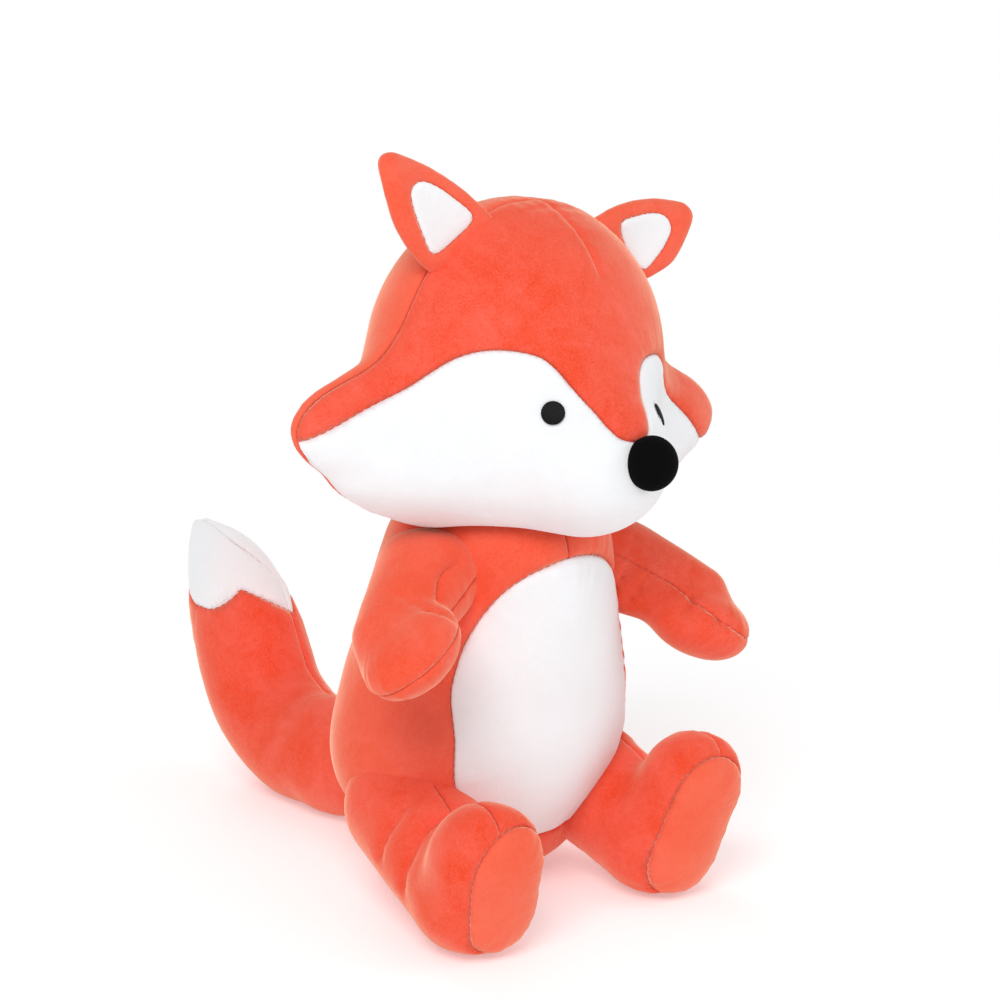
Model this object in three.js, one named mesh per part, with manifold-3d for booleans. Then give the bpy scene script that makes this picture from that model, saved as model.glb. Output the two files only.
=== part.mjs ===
// A stuffed plush fox that sits on a flat seat.
// Units are millimetres, +Z is up, the fox faces -Y and its own left is +X.
// The origin lies on the ground, in the middle of the flat seat.
import * as THREE from 'three';
import { mergeVertices } from 'three/addons/utils/BufferGeometryUtils.js';
import Module from 'manifold-3d';

const wasm = await Module();
wasm.setup();
const radians = THREE.MathUtils.degToRad;
const xAxis = new THREE.Vector3(1, 0, 0);
const yAxis = new THREE.Vector3(0, 1, 0);
const zAxis = new THREE.Vector3(0, 0, 1);

// Cloth, seams and clearances
const clothThickness = 2.4;
const seamGap = 0.3;
const fillClearance = 0.6;
const jointGap = 0.5;
const limbClearance = 1.6;
const shoulderClearance = 6.5;
const restFlat = 1;
const overrun = 400;

// Body
const bodyWidth = 120;
const bodyDepth = 110;
const bodyHeight = 150;
const seatSeamHeight = 18;
const seatTongueWidth = 74;
const seatTongueHeight = 38;
const bellyBottom = 24;
const bellyTop = 142;
const bellyWidth = 87;
const bellyShift = 1.5;

// Neck: the head rolls on a ball face about a centre inside the chest
const neckBallRadius = 73;
const neckBallDepth = 57;
const neckBallForward = 11;
const neckPadThickness = 7;
const neckPadWidth = 44;

// Head
const headWidth = 210;
const headDepth = 130;
const headHeight = 126;
const headSeamForward = 18;
const headRoll = radians(6.9);
const patchHeight = 71;
const patchShift = -1.5;
const dartLength = 42;
const dartWidth = 0.6;

// Eyes and nose
const eyeDiameter = 10.4;
const eyeThickness = 0.7;
const eyeSpacing = 53;
const eyeHeight = 50;
const noseWidth = 25;
const noseDepth = 21;
const noseHeight = 23;
const noseRise = 35;
const noseForward = 91.5;

// Ears
const earWidth = 38;
const earThickness = 10;
const earSpacing = 87;
const earRise = 108;
const earPoses = {
  left: { height: 40, lean: radians(49) },
  right: { height: 46, lean: radians(37) },
};

// Arms
const armLength = 70;
const armRoot = 40;
const armWrist = 28;
const shoulderSpacing = 86;
const shoulderHeight = 133;
const shoulderForward = 20.7;
const shoulderDrop = 2.5;
const armPoses = {
  left: { splay: radians(47.5), droop: radians(24.5), twist: radians(7) },
  right: { splay: radians(58), droop: radians(18), twist: radians(32) },
};

// Legs
const legLength = 90;
const legRoot = 50;
const ankleWidth = 42;
const toeWidth = 44;
const hipSpacing = 84;
const hipHeight = 39;
const hipForward = 6;
const soleLean = radians(4);
const legPoses = {
  left: { splay: radians(4), roll: radians(16), footHeight: 72 },
  right: { splay: radians(13), roll: radians(2), footHeight: 54 },
};
const soleBorder = 5;
const legSeamInset = 10;

// Tail
const tailThickness = 50;
const tailReach = 146;
const tailRise = 76;
const tailRootHeight = 29;
const tailRootBack = 52;
const tailRootRadius = 17;
const tipHeight = 60;

// Round masses. Each is a function that gives about how far a point lies outside it.
function roundMass(at, radii) {
  return (x, y, z) => {
    const u = (x - at[0]) / radii[0];
    const v = (y - at[1]) / radii[1];
    const w = (z - at[2]) / radii[2];
    const reach = Math.hypot(u, v, w);
    const slope = Math.hypot(u / radii[0], v / radii[1], w / radii[2]);
    return slope > 0 ? (reach * (reach - 1)) / slope : -Math.min(...radii);
  };
}

// A mass that tapers from one ball to another
function taperedMass(from, to, startRadius, endRadius) {
  const run = to.map((value, axis) => value - from[axis]);
  const length = Math.hypot(...run);
  const sine = (startRadius - endRadius) / length;
  const cosine = Math.sqrt(1 - sine * sine);
  return (x, y, z) => {
    const px = x - from[0];
    const py = y - from[1];
    const pz = z - from[2];
    const along = (px * run[0] + py * run[1] + pz * run[2]) / length;
    const away = Math.sqrt(Math.max(px * px + py * py + pz * pz - along * along, 0));
    const foot = along + (away * sine) / cosine;
    if (foot <= 0) return Math.hypot(away, along) - startRadius;
    if (foot >= length) return Math.hypot(away, along - length) - endRadius;
    return away * cosine + along * sine - startRadius;
  };
}

// Tapered masses end to end, through the given points
function chainedMass(points, radii) {
  const links = points.slice(1).map((point, index) => (
    taperedMass(points[index], point, radii[index], radii[index + 1])));
  return (x, y, z) => Math.min(...links.map((link) => link(x, y, z)));
}

function softMin(a, b, width) {
  const overlap = Math.max(width - Math.abs(a - b), 0) / width;
  return Math.min(a, b) - (overlap * overlap * width) / 4;
}

// Masses sewn under one skin, with a soft hollow of the given width between them
function blended(width, ...masses) {
  return (x, y, z) => masses
    .map((mass) => mass(x, y, z))
    .reduce((near, next) => softMin(near, next, width));
}

// A mass pressed flat by a plane, with a rounded rim of the given width
function pressed(field, at, facing, width) {
  return (x, y, z) => {
    const above = (x - at[0]) * facing[0] + (y - at[1]) * facing[1] + (z - at[2]) * facing[2];
    return -softMin(-field(x, y, z), -above, width);
  };
}

const mirrored = (field) => (x, y, z) => field(Math.abs(x), y, z);
const handed = (field, side) => (x, y, z) => field(side * x, y, z);
const grown = (field, by) => (x, y, z) => field(x, y, z) - by;
const sized = (shares, sizes) => shares.map((share, axis) => share * sizes[axis]);

// Distance from a point to the field's outermost surface along a direction
function castOut(field, at, way, limit) {
  const inside = (r) => field(at[0] + way[0] * r, at[1] + way[1] * r, at[2] + way[2] * r) <= 0;
  const steps = 60;
  let step = steps;
  while (step > 0 && !inside((limit * step) / steps)) step -= 1;
  let near = (limit * step) / steps;
  let far = near + limit / steps;
  for (let round = 0; round < 20; round += 1) {
    const middle = (near + far) / 2;
    if (inside(middle)) near = middle;
    else far = middle;
  }
  return near;
}

// Solids
function toSolid(positions, triangles) {
  const mesh = new wasm.Mesh({
    numProp: 3,
    vertProperties: Float32Array.from(positions),
    triVerts: Uint32Array.from(triangles),
  });
  return new wasm.Manifold(mesh);
}

function geometryToSolid(geometry) {
  const bare = geometry.clone();
  bare.deleteAttribute('normal');
  bare.deleteAttribute('uv');
  const merged = mergeVertices(bare);
  return toSolid(merged.attributes.position.array, merged.index.array);
}

function solidToGeometry(solid) {
  const mesh = solid.getMesh();
  const geometry = new THREE.BufferGeometry();
  geometry.setAttribute('position', new THREE.BufferAttribute(mesh.vertProperties, 3));
  geometry.setIndex(new THREE.BufferAttribute(mesh.triVerts, 1));
  geometry.computeVertexNormals();
  return geometry;
}

const moved = (solid, matrix) => geometryToSolid(solidToGeometry(solid).applyMatrix4(matrix));

// A faceted ball with its poles on the axis that it turns about
function ball(at, radius, segments, axis) {
  const geometry = new THREE.SphereGeometry(radius, segments, segments / 2);
  geometry.applyQuaternion(new THREE.Quaternion().setFromUnitVectors(yAxis, axis));
  return geometryToSolid(geometry.translate(...at));
}

// Room for a ball: its flat facets touch the given radius from outside
function socket(at, radius, segments, axis) {
  return ball(at, radius / Math.cos(Math.PI / segments) ** 2, segments, axis);
}

// Everything on one side of a plane across an axis
function beyond(axis, at, side) {
  const place = [0, 0, 0];
  place[axis] = at + (side * overrun) / 2;
  return geometryToSolid(new THREE.BoxGeometry(overrun, overrun, overrun).translate(...place));
}

function extruded(outline, across, up, depth) {
  const shape = new THREE.Shape(outline.map(([x, y]) => new THREE.Vector2(x, y)));
  const geometry = new THREE.ExtrudeGeometry(shape, { depth, bevelEnabled: false });
  const away = new THREE.Vector3().crossVectors(across, up);
  geometry.translate(0, 0, -depth / 2);
  return geometryToSolid(geometry.applyMatrix4(new THREE.Matrix4().makeBasis(across, up, away)));
}

const frontPrism = (outline, depth = overrun) => extruded(outline, xAxis, zAxis, depth);
const sidePrism = (outline) => extruded(outline, yAxis, zAxis, overrun);

// Outlines
function smoothLoop(points, steps) {
  const places = points.map(([x, y]) => new THREE.Vector3(x, y, 0));
  const curve = new THREE.CatmullRomCurve3(places, true);
  return curve.getSpacedPoints(steps).slice(0, -1).map((point) => [point.x, point.y]);
}

function smoothLine(points, steps) {
  const curve = new THREE.SplineCurve(points.map(([x, y]) => new THREE.Vector2(x, y)));
  return curve.getSpacedPoints(steps).map((point) => [point.x, point.y]);
}

// The same line moved to its right by a margin; a loop stays closed
function widened(line, margin, closed = false) {
  const last = line.length - 1;
  return line.map(([x, y], index) => {
    const before = line[index > 0 ? index - 1 : (closed ? last : 0)];
    const after = line[index < last ? index + 1 : (closed ? 0 : last)];
    const run = [after[0] - before[0], after[1] - before[1]];
    const length = Math.hypot(...run);
    return [x + (run[1] * margin) / length, y - (run[0] * margin) / length];
  });
}

const mirroredHalf = (half) => half.slice(1, -1).reverse().map(([x, y]) => [-x, y]);

function straight(from, to) {
  return new THREE.LineCurve3(new THREE.Vector3(...from), new THREE.Vector3(...to));
}

// The closed skin of a field moved out by a margin: rings of points cast out from a spine.
// A crowd share draws the rings to both ends and a pinch share the spokes to four sides.
function skin(field, margin, spine, rings, spokes, { crowd = 0.8, pinch = 0, limit = overrun / 2 } = {}) {
  const points = [];
  const triangles = [];
  const start = spine.getPoint(0).toArray();
  const end = spine.getPoint(1).toArray();
  const startWay = spine.getTangent(0).negate().toArray();
  const endWay = spine.getTangent(1).toArray();
  const surface = grown(field, margin);
  const lead = castOut(field, start, startWay, limit);
  const tail = castOut(field, end, endWay, limit);
  const length = spine.getLength();
  const total = lead + length + tail;
  for (let ring = 1; ring <= rings; ring += 1) {
    const share = ring / (rings + 1);
    const eased = share - (crowd * Math.sin(2 * Math.PI * share)) / (2 * Math.PI);
    const travel = total * eased - lead;
    const u = THREE.MathUtils.clamp(travel / length, 0, 1);
    const forward = spine.getTangentAt(u);
    const centre = spine.getPointAt(u).addScaledVector(forward, travel - u * length);
    const side = xAxis.clone().addScaledVector(forward, -xAxis.dot(forward)).normalize();
    const up = new THREE.Vector3().crossVectors(forward, side);
    for (let spoke = 0; spoke < spokes; spoke += 1) {
      const turn = (2 * Math.PI * spoke) / spokes;
      const angle = turn - (pinch * Math.sin(4 * turn)) / 4;
      const way = side.clone().multiplyScalar(Math.cos(angle));
      way.addScaledVector(up, Math.sin(angle));
      const reach = castOut(surface, centre.toArray(), way.toArray(), limit);
      points.push(...centre.clone().addScaledVector(way, reach).toArray());
    }
  }
  for (let ring = 0; ring < rings - 1; ring += 1) {
    for (let spoke = 0; spoke < spokes; spoke += 1) {
      const a = ring * spokes + spoke;
      const b = ring * spokes + ((spoke + 1) % spokes);
      triangles.push(a, b, b + spokes, a, b + spokes, a + spokes);
    }
  }
  const first = points.length / 3;
  const caps = [[start, startWay], [end, endWay]];
  caps.forEach(([at, way]) => {
    const reach = castOut(surface, at, way, limit);
    points.push(...at.map((value, axis) => value + way[axis] * reach));
  });
  const last = (rings - 1) * spokes;
  for (let spoke = 0; spoke < spokes; spoke += 1) {
    const next = (spoke + 1) % spokes;
    triangles.push(first, next, spoke, first + 1, last + spoke, last + next);
  }
  return toSolid(points, triangles);
}

// A stuffed form: its outside, the cloth shell round it and the filling inside
function stuffed(field, spine, rings, spokes, { ringShare = 0.5, ...options }) {
  const innerRings = Math.round(rings * ringShare);
  const innerSpokes = 4 * Math.round(spokes * 0.13);
  const outside = skin(field, 0, spine, rings, spokes, options);
  const inner = (by) => skin(field, -by, spine, innerRings, innerSpokes, options);
  const cover = outside.subtract(inner(clothThickness));
  return { field, outside, cover, filling: inner(clothThickness + fillClearance) };
}

// The two sides of a solid, apart by a seam across X, left (+X) first
function halves(solid, at = 0) {
  return [1, -1].map((side) => solid.intersect(beyond(0, at + (side * seamGap) / 2, side)));
}

// Materials
const cloth = (color) => new THREE.MeshStandardMaterial({ color, roughness: 0.95, metalness: 0 });
const orangePlush = () => cloth('#e9654d');
const whitePlush = () => cloth('#f6f5f8');
const blackPlush = () => cloth('#17171a');
const blackThread = () => new THREE.MeshStandardMaterial({ color: '#121214', roughness: 0.6 });
const filler = () => cloth('#e8e4da');

function piece(name, solid, material) {
  const mesh = new THREE.Mesh(solidToGeometry(solid), material);
  mesh.name = name;
  return mesh;
}

// Frames that the head, limbs and tail are built in
const fox = new THREE.Group();
const headFrame = new THREE.Group();
headFrame.position.set(0, 0, bodyHeight);
headFrame.rotation.y = headRoll;

function armFrame(side, { splay, droop, twist }) {
  const frame = new THREE.Group();
  frame.position.set(side * (shoulderSpacing / 2), -shoulderForward, shoulderHeight - side * shoulderDrop);
  frame.rotation.order = 'ZXY';
  frame.rotation.set(droop, side * twist, side * splay);
  return frame;
}

function legFrame(side, { splay, roll }) {
  const frame = new THREE.Group();
  frame.position.set(side * (hipSpacing / 2), -hipForward, hipHeight);
  frame.rotation.order = 'ZXY';
  frame.rotation.set(0, side * roll, side * splay);
  return frame;
}

const tailFrame = new THREE.Group();
tailFrame.position.set(0, tailRootBack, tailRootHeight);
const sides = [['left', 1], ['right', -1]];
const armFrames = Object.fromEntries(sides.map(([name, side]) => [name, armFrame(side, armPoses[name])]));
const legFrames = Object.fromEntries(sides.map(([name, side]) => [name, legFrame(side, legPoses[name])]));
fox.add(headFrame, tailFrame, ...Object.values(armFrames), ...Object.values(legFrames));
fox.updateMatrixWorld(true);

const toWorld = (solid, frame) => moved(solid, frame.matrixWorld);
const toFrame = (solid, frame) => moved(solid, frame.matrixWorld.clone().invert());
const underground = beyond(2, 0, -1);

// Body
const bodySizes = [bodyWidth, bodyDepth, bodyHeight];
const neckCentre = [0, -neckBallForward, bodyHeight - neckBallDepth];

function bodyField() {
  const seatRadii = sized([0.42, 0.34, 0.14], bodySizes);
  const seat = roundMass([0, 0.06 * bodyDepth, seatRadii[2] - restFlat], seatRadii);
  const hips = roundMass(
    sized([-0.022, 0.03, 0.377], bodySizes), sized([0.487, 0.48, 0.3], bodySizes));
  const chest = taperedMass(
    sized([0.05, 0.06, 0.555], bodySizes), sized([0.01, -0.095, 0.925], bodySizes),
    0.474 * bodyWidth, 0.368 * bodyWidth);
  const whole = blended(0.075 * bodyHeight, seat, hips, chest);
  const neckBall = roundMass(neckCentre, Array(3).fill(neckBallRadius));
  return (x, y, z) => (
    z > neckCentre[2] ? -softMin(-whole(x, y, z), -neckBall(x, y, z), 0.05 * bodyWidth) : whole(x, y, z));
}

const bodySpine = straight(sized([0, 0, 0.3], bodySizes), sized([0, 0, 0.8], bodySizes));
const bodyRings = [12, 20];
const bodySkin = { crowd: 0.6 };
const bodyForm = stuffed(bodyField(), bodySpine, ...bodyRings, bodySkin);

const bodyGrown = (by) => skin(bodyForm.field, by, bodySpine, ...bodyRings, bodySkin);

// A pad that turns in the top of the body, between two ball faces
function neckPad(clearance) {
  const segments = 18;
  const slack = clearance > 0 ? Math.cos(Math.PI / segments) : 1;
  const half = (neckPadWidth / 2 + clearance) / slack;
  const outer = neckBallRadius + (clearance > 0 ? seamGap : 0);
  const inner = neckBallRadius - neckPadThickness - clearance;
  const steps = 3;
  const arc = (radius) => Array.from({ length: steps + 1 }, (_, step) => {
    const angle = Math.asin(half / radius) * (step / steps);
    return new THREE.Vector2(radius * Math.sin(angle), radius * Math.cos(angle));
  });
  const profile = [...arc(inner), ...arc(outer).reverse()];
  profile[0].x = 0;
  profile[profile.length - 1].x = 0;
  const geometry = new THREE.LatheGeometry(profile, segments).rotateX(Math.PI / 2);
  return geometryToSolid(geometry.translate(...neckCentre));
}

// Each limb and the tail end in a ball of filling that turns in a socket in the body
const rootSegments = 14;
const armAxis = (side, pose) => xAxis.clone().applyAxisAngle(zAxis, side * pose.splay);
const limbRoots = [
  ...sides.map(([name, side]) => (
    { frame: armFrames[name], radius: armRoot / 2, axis: armAxis(side, armPoses[name]) })),
  ...sides.map(([name]) => ({ frame: legFrames[name], radius: legRoot / 2, axis: zAxis })),
  { frame: tailFrame, radius: tailRootRadius, axis: zAxis },
];

const rootSocket = ({ frame, radius, axis }) => (
  socket(frame.position.toArray(), radius + seamGap, rootSegments, axis));

function rootBall({ frame, radius, axis }) {
  const ballRadius = (radius + seamGap) / Math.cos(Math.PI / rootSegments) - seamGap;
  return ball(frame.position.toArray(), ballRadius, rootSegments, axis);
}

const bellyShares = [[0, 1], [0.2, 0.965], [0.33, 0.89], [0.42, 0.75], [0.46, 0.6],
  [0.48, 0.44], [0.5, 0.28], [0.45, 0.17], [0.31, 0.07], [0.14, 0.01], [0, 0]];

function bellyPrism(margin) {
  const rise = bellyTop - bellyBottom;
  const half = bellyShares.map(([x, z]) => [x * bellyWidth, bellyBottom + z * rise]);
  const loop = smoothLoop(
    [...half, ...mirroredHalf(half)].map(([x, z]) => [x + bellyShift, z]), 24);
  return frontPrism(widened(loop, -margin, true)).intersect(beyond(1, 0, -1));
}

// The seat panel's room: below its seam, and in front up between the legs to the belly patch
function seatRoom(margin) {
  const half = seatTongueWidth / 2 + margin;
  const top = seatTongueHeight + margin;
  const tongue = frontPrism([[-half, 0], [half, 0], [half, top], [-half, top]]);
  return beyond(2, seatSeamHeight + margin, -1).add(tongue.intersect(beyond(1, 0, -1)));
}

function makeBody() {
  const room = [underground, neckPad(seamGap), ...limbRoots.map(rootSocket)];
  const cut = (solid) => room.reduce((left, next) => left.subtract(next), solid);
  const cover = cut(bodyForm.cover);
  const belly = cover.intersect(bellyPrism(0));
  const around = cover.subtract(bellyPrism(seamGap));
  const seat = around.intersect(seatRoom(-seamGap / 2));
  const [left, right] = halves(around.subtract(seatRoom(seamGap / 2)));
  return [
    piece('body_stuffing', cut(bodyForm.filling), filler()),
    piece('body_left_side', left, orangePlush()),
    piece('body_right_side', right, orangePlush()),
    piece('belly_patch', belly, whitePlush()),
    piece('seat_panel', seat, orangePlush()),
  ];
}

// Head, in its own frame: the origin is the middle of the neck
const headSizes = [headWidth, headDepth, headHeight];

function headField() {
  const dome = roundMass(
    sized([0, -0.099, 0.495], headSizes), sized([0.301, 0.39, 0.508], headSizes));
  const jaw = roundMass(
    sized([0, -0.121, 0.159], headSizes), sized([0.352, 0.265, 0.159], headSizes));
  const cheek = roundMass(
    sized([0.124, -0.124, 0.31], headSizes), sized([0.384, 0.12, 0.202], headSizes));
  const snout = taperedMass(
    sized([0, -0.277, 0.317], headSizes), sized([0, -0.483, 0.251], headSizes),
    0.27 * headHeight, 0.225 * headHeight);
  return mirrored(blended(0.19 * headHeight, dome, jaw, cheek, snout));
}

const headSpine = straight(sized([0, -0.14, 0.35], headSizes), sized([0, -0.14, 0.6], headSizes));
const headRings = [17, 28];
const headSkin = { crowd: 0.3, pinch: 0.5 };
const headForm = stuffed(headField(), headSpine, ...headRings, headSkin);
const headGrown = (by) => skin(headForm.field, by, headSpine, ...headRings, headSkin);

// Where the head may swing, so the shoulders keep out of it
function headRoom(frame) {
  const swing = toWorld(headGrown(shoulderClearance), headFrame);
  return toFrame(swing.subtract(ball(neckCentre, neckBallRadius, 28, zAxis)), frame);
}

// The white patch's upper edge as seen from the front, from the cheek tip to the nose
const patchShares = [[1.1, 0.4], [0.98, 0.47], [0.8, 0.63], [0.64, 0.78], [0.5, 0.94], [0.395, 1],
  [0.27, 0.985], [0.175, 0.93], [0.12, 0.82], [0.09, 0.66], [0.05, 0.5], [0, 0.42]];

function patchPrism(margin) {
  const half = patchShares.map(([x, z]) => [x * (headWidth / 2), z * patchHeight]);
  const left = smoothLine(half, 13);
  const right = left.slice(0, -1).reverse().map(([x, z]) => [-x, z]);
  const edge = widened([...left, ...right].map(([x, z]) => [x + patchShift, z]), margin);
  return frontPrism([...edge, [-headWidth, -headHeight], [headWidth, -headHeight]]);
}

function makeHead() {
  const centre = headFrame.worldToLocal(new THREE.Vector3(...neckCentre)).toArray();
  const neckRoom = socket(centre, neckBallRadius + jointGap, 28, zAxis);
  const cover = headForm.cover.subtract(neckRoom);
  const front = cover.intersect(beyond(1, -headSeamForward - seamGap / 2, -1));
  const back = cover.intersect(beyond(1, -headSeamForward + seamGap / 2, 1));
  const [backLeft, backRight] = halves(back);
  const dart = new THREE.BoxGeometry(dartWidth, 2 * dartLength, headHeight);
  dart.translate(0, -headSeamForward, 1.3 * headHeight);
  const forehead = front.subtract(patchPrism(seamGap)).subtract(geometryToSolid(dart));
  return [
    piece('head_stuffing', headForm.filling.subtract(neckRoom), filler()),
    piece('head_back_left', backLeft, orangePlush()),
    piece('head_back_right', backRight, orangePlush()),
    piece('forehead_panel', forehead, orangePlush()),
    piece('face_patch', front.intersect(patchPrism(0)), whitePlush()),
  ];
}

function makeNose() {
  const geometry = new THREE.SphereGeometry(1, 12, 8);
  geometry.scale(noseWidth / 2, noseDepth / 2, noseHeight / 2);
  geometry.translate(0, -noseForward, noseRise);
  return piece('nose', geometryToSolid(geometry).subtract(headGrown(fillClearance)), blackPlush());
}

// The field's outward direction at a point
function outwardAt(field, at) {
  const reach = clothThickness;
  const slope = [0, 1, 2].map((axis) => {
    const ahead = at.map((value, index) => value + (index === axis ? reach : 0));
    const behind = at.map((value, index) => value - (index === axis ? reach : 0));
    return field(...ahead) - field(...behind);
  });
  return new THREE.Vector3(...slope).normalize();
}

function makeEye(name, side) {
  const from = [side * (eyeSpacing / 2), 0, eyeHeight];
  const reach = castOut(headForm.field, from, [0, -1, 0], headDepth);
  const at = [from[0], -reach, from[2]];
  const turn = new THREE.Quaternion().setFromUnitVectors(yAxis, outwardAt(headForm.field, at));
  const disc = new THREE.CylinderGeometry(eyeDiameter / 2, eyeDiameter / 2, eyeDiameter, 14);
  const stitched = headGrown(fillClearance + eyeThickness).subtract(headGrown(fillClearance));
  const solid = geometryToSolid(disc.applyQuaternion(turn).translate(...at));
  return piece(`eye_${name}`, solid.intersect(stitched), blackThread());
}

// Ears: flat pillows, built with the base along X, the tip along +Z and the front at -Y
const earShares = [[-0.5, -0.25], [-0.49, 0], [-0.34, 0.37], [-0.13, 0.7], [0.12, 0.96], [0.22, 0.99],
  [0.31, 0.93], [0.4, 0.72], [0.49, 0.4], [0.53, 0.15], [0.5, -0.25], [0, -0.35]];
const earInsetShares = [[-0.32, -0.3], [-0.3, 0.02], [-0.18, 0.37], [-0.06, 0.58], [0.06, 0.65],
  [0.18, 0.56], [0.29, 0.31], [0.28, 0], [0.24, -0.3]];

function pillow(outline, thickness, layers) {
  const count = outline.length;
  const middle = [0, 1].map((axis) => (
    outline.reduce((sum, point) => sum + point[axis], 0) / count));
  const points = [];
  const triangles = [];
  for (let layer = 0; layer < layers; layer += 1) {
    const angle = Math.PI * ((layer + 0.5) / layers - 0.5);
    const spread = Math.cos(angle) ** 0.5;
    outline.forEach(([x, z]) => points.push(
      middle[0] + (x - middle[0]) * spread,
      (thickness / 2) * Math.sin(angle),
      middle[1] + (z - middle[1]) * spread));
  }
  for (let layer = 0; layer < layers - 1; layer += 1) {
    for (let index = 0; index < count; index += 1) {
      const a = layer * count + index;
      const b = layer * count + ((index + 1) % count);
      triangles.push(a, b, b + count, a, b + count, a + count);
    }
  }
  const first = count * layers;
  points.push(middle[0], -thickness / 2, middle[1], middle[0], thickness / 2, middle[1]);
  for (let index = 0; index < count; index += 1) {
    const next = (index + 1) % count;
    triangles.push(first, next, index, first + 1, first - count + index, first - count + next);
  }
  return toSolid(points, triangles);
}

function earLoop(shares, name, side, margin) {
  const points = shares.map(([x, z]) => [x * earWidth, z * earPoses[name].height]);
  const loop = widened(smoothLoop(points, 16), margin, true);
  return side > 0 ? loop : loop.map(([x, z]) => [-x, z]).reverse();
}

function makeEar(name, side) {
  const frame = new THREE.Group();
  frame.position.set(side * (earSpacing / 2), -headSeamForward, earRise);
  frame.rotation.y = side * earPoses[name].lean;
  frame.updateMatrix();
  const room = moved(headGrown(seamGap), frame.matrix.clone().invert());
  const outside = pillow(earLoop(earShares, name, side, 0), earThickness, 4);
  const inner = (by) => pillow(earLoop(earShares, name, side, by), earThickness - 2 * by, 2);
  const cover = outside.subtract(inner(clothThickness)).subtract(room);
  const front = cover.intersect(beyond(1, -seamGap / 2, -1));
  const insert = (margin) => frontPrism(earLoop(earInsetShares, name, side, -margin));
  frame.add(
    piece(`ear_${name}_back`, cover.intersect(beyond(1, seamGap / 2, 1)), orangePlush()),
    piece(`ear_${name}_front`, front.subtract(insert(seamGap)), orangePlush()),
    piece(`ear_${name}_inner`, front.intersect(insert(0)), whitePlush()),
    piece(`ear_${name}_stuffing`, inner(clothThickness + fillClearance).subtract(room), filler()));
  return frame;
}

// Limbs point along -Y from a ball at the origin of their frame
function armField() {
  const sleeve = taperedMass([0, 0, 0], [0, -0.63 * armLength, 0], armRoot / 2, armWrist / 2);
  const paw = roundMass(
    [-0.26 * armWrist, -0.685 * armLength, -0.24 * armWrist],
    [0.71 * armWrist, 0.315 * armLength, 0.5 * armWrist]);
  return blended(0.2 * armWrist, sleeve, paw);
}

// A limb's cloth ends at the body, and its filling goes on into the socket
function joined(form, frame, otherRoom) {
  const root = rootBall(limbRoots.find((limb) => limb.frame === frame));
  const inner = root.intersect(bodyGrown(limbClearance / 2));
  const room = bodyGrown(limbClearance);
  const filling = form.filling.subtract(toFrame(room.subtract(root), frame));
  return {
    cover: form.cover.subtract(toFrame(room, frame)).subtract(otherRoom),
    filling: filling.add(toFrame(inner, frame)).subtract(otherRoom),
  };
}

function makeArm(name, side) {
  const frame = armFrames[name];
  const spine = straight([0, 0, 0], [0, -0.7 * armLength, 0]);
  const form = stuffed(handed(armField(), side), spine, 9, 16, { crowd: 0.6 });
  const { cover, filling } = joined(form, frame, headRoom(frame));
  const [first, second] = halves(cover);
  const [outer, inner] = side > 0 ? [first, second] : [second, first];
  frame.add(
    piece(`arm_${name}_stuffing`, filling, filler()),
    piece(`arm_${name}_outer`, outer, orangePlush()),
    piece(`arm_${name}_inner`, inner, orangePlush()));
}

function legField({ footHeight }) {
  const heel = -(hipHeight + restFlat - ankleWidth / 2);
  const soleFacing = [0, -Math.cos(soleLean), -Math.sin(soleLean)];
  const thigh = taperedMass(
    [0, 0, 0], [0, -0.56 * legLength, heel], legRoot / 2, ankleWidth / 2);
  const foot = taperedMass(
    [0, -0.62 * legLength, heel], [0, -0.76 * legLength, heel + 0.33 * footHeight],
    ankleWidth / 2, toeWidth / 2);
  const whole = blended(0.1 * footHeight, thigh, foot);
  return pressed(whole, [0, -0.9 * legLength, heel], soleFacing, 0.1 * footHeight);
}

function makeLeg(name, side) {
  const frame = legFrames[name];
  const spine = straight([0, 0, 0], [0, -0.7 * legLength, 0]);
  const form = stuffed(legField(legPoses[name]), spine, 10, 16, { crowd: 0.7 });
  const { cover, filling } = joined(form, frame, toFrame(underground, frame));
  const soleCut = new THREE.Matrix4().makeRotationX(soleLean);
  soleCut.setPosition(0, -0.9 * legLength + soleBorder, -(hipHeight - ankleWidth / 2));
  const sole = cover.intersect(moved(beyond(1, -seamGap / 2, -1), soleCut));
  const upper = cover.intersect(moved(beyond(1, seamGap / 2, 1), soleCut));
  const [first, second] = halves(upper, -side * legSeamInset);
  const [outer, inner] = side > 0 ? [first, second] : [second, first];
  frame.add(
    piece(`leg_${name}_stuffing`, filling, filler()),
    piece(`leg_${name}_outer`, outer, orangePlush()),
    piece(`leg_${name}_inner`, inner, orangePlush()),
    piece(`leg_${name}_sole`, sole, orangePlush()));
}

// Tail: it leaves the body's back, lies on the ground and curls up to a white tip
const tailShares = [[0, 0], [0.25, 0], [0.36, 0], [0.51, 0.01], [0.67, 0.18], [0.77, 0.52],
  [0.87, 0.81], [1, 1]];
const tailRadiusShares = [0.47, 0.486, 0.5, 0.5, 0.49, 0.36, 0.13];

// The white tip's lower edge: teeth across the tail, seen from the front
const tipShares = [[-1, 0.97], [-0.56, 0.97], [-0.44, 0.84], [-0.2, 1], [0.26, 0.78], [0.5, 0.97],
  [1, 0.97]];

function tipOutline(margin) {
  const edge = tipShares.map(([side, rise]) => [side * tailThickness, rise * tipHeight - margin]);
  return [...edge, [tailThickness, tailRise * 2], [-tailThickness, tailRise * 2]];
}

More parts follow.
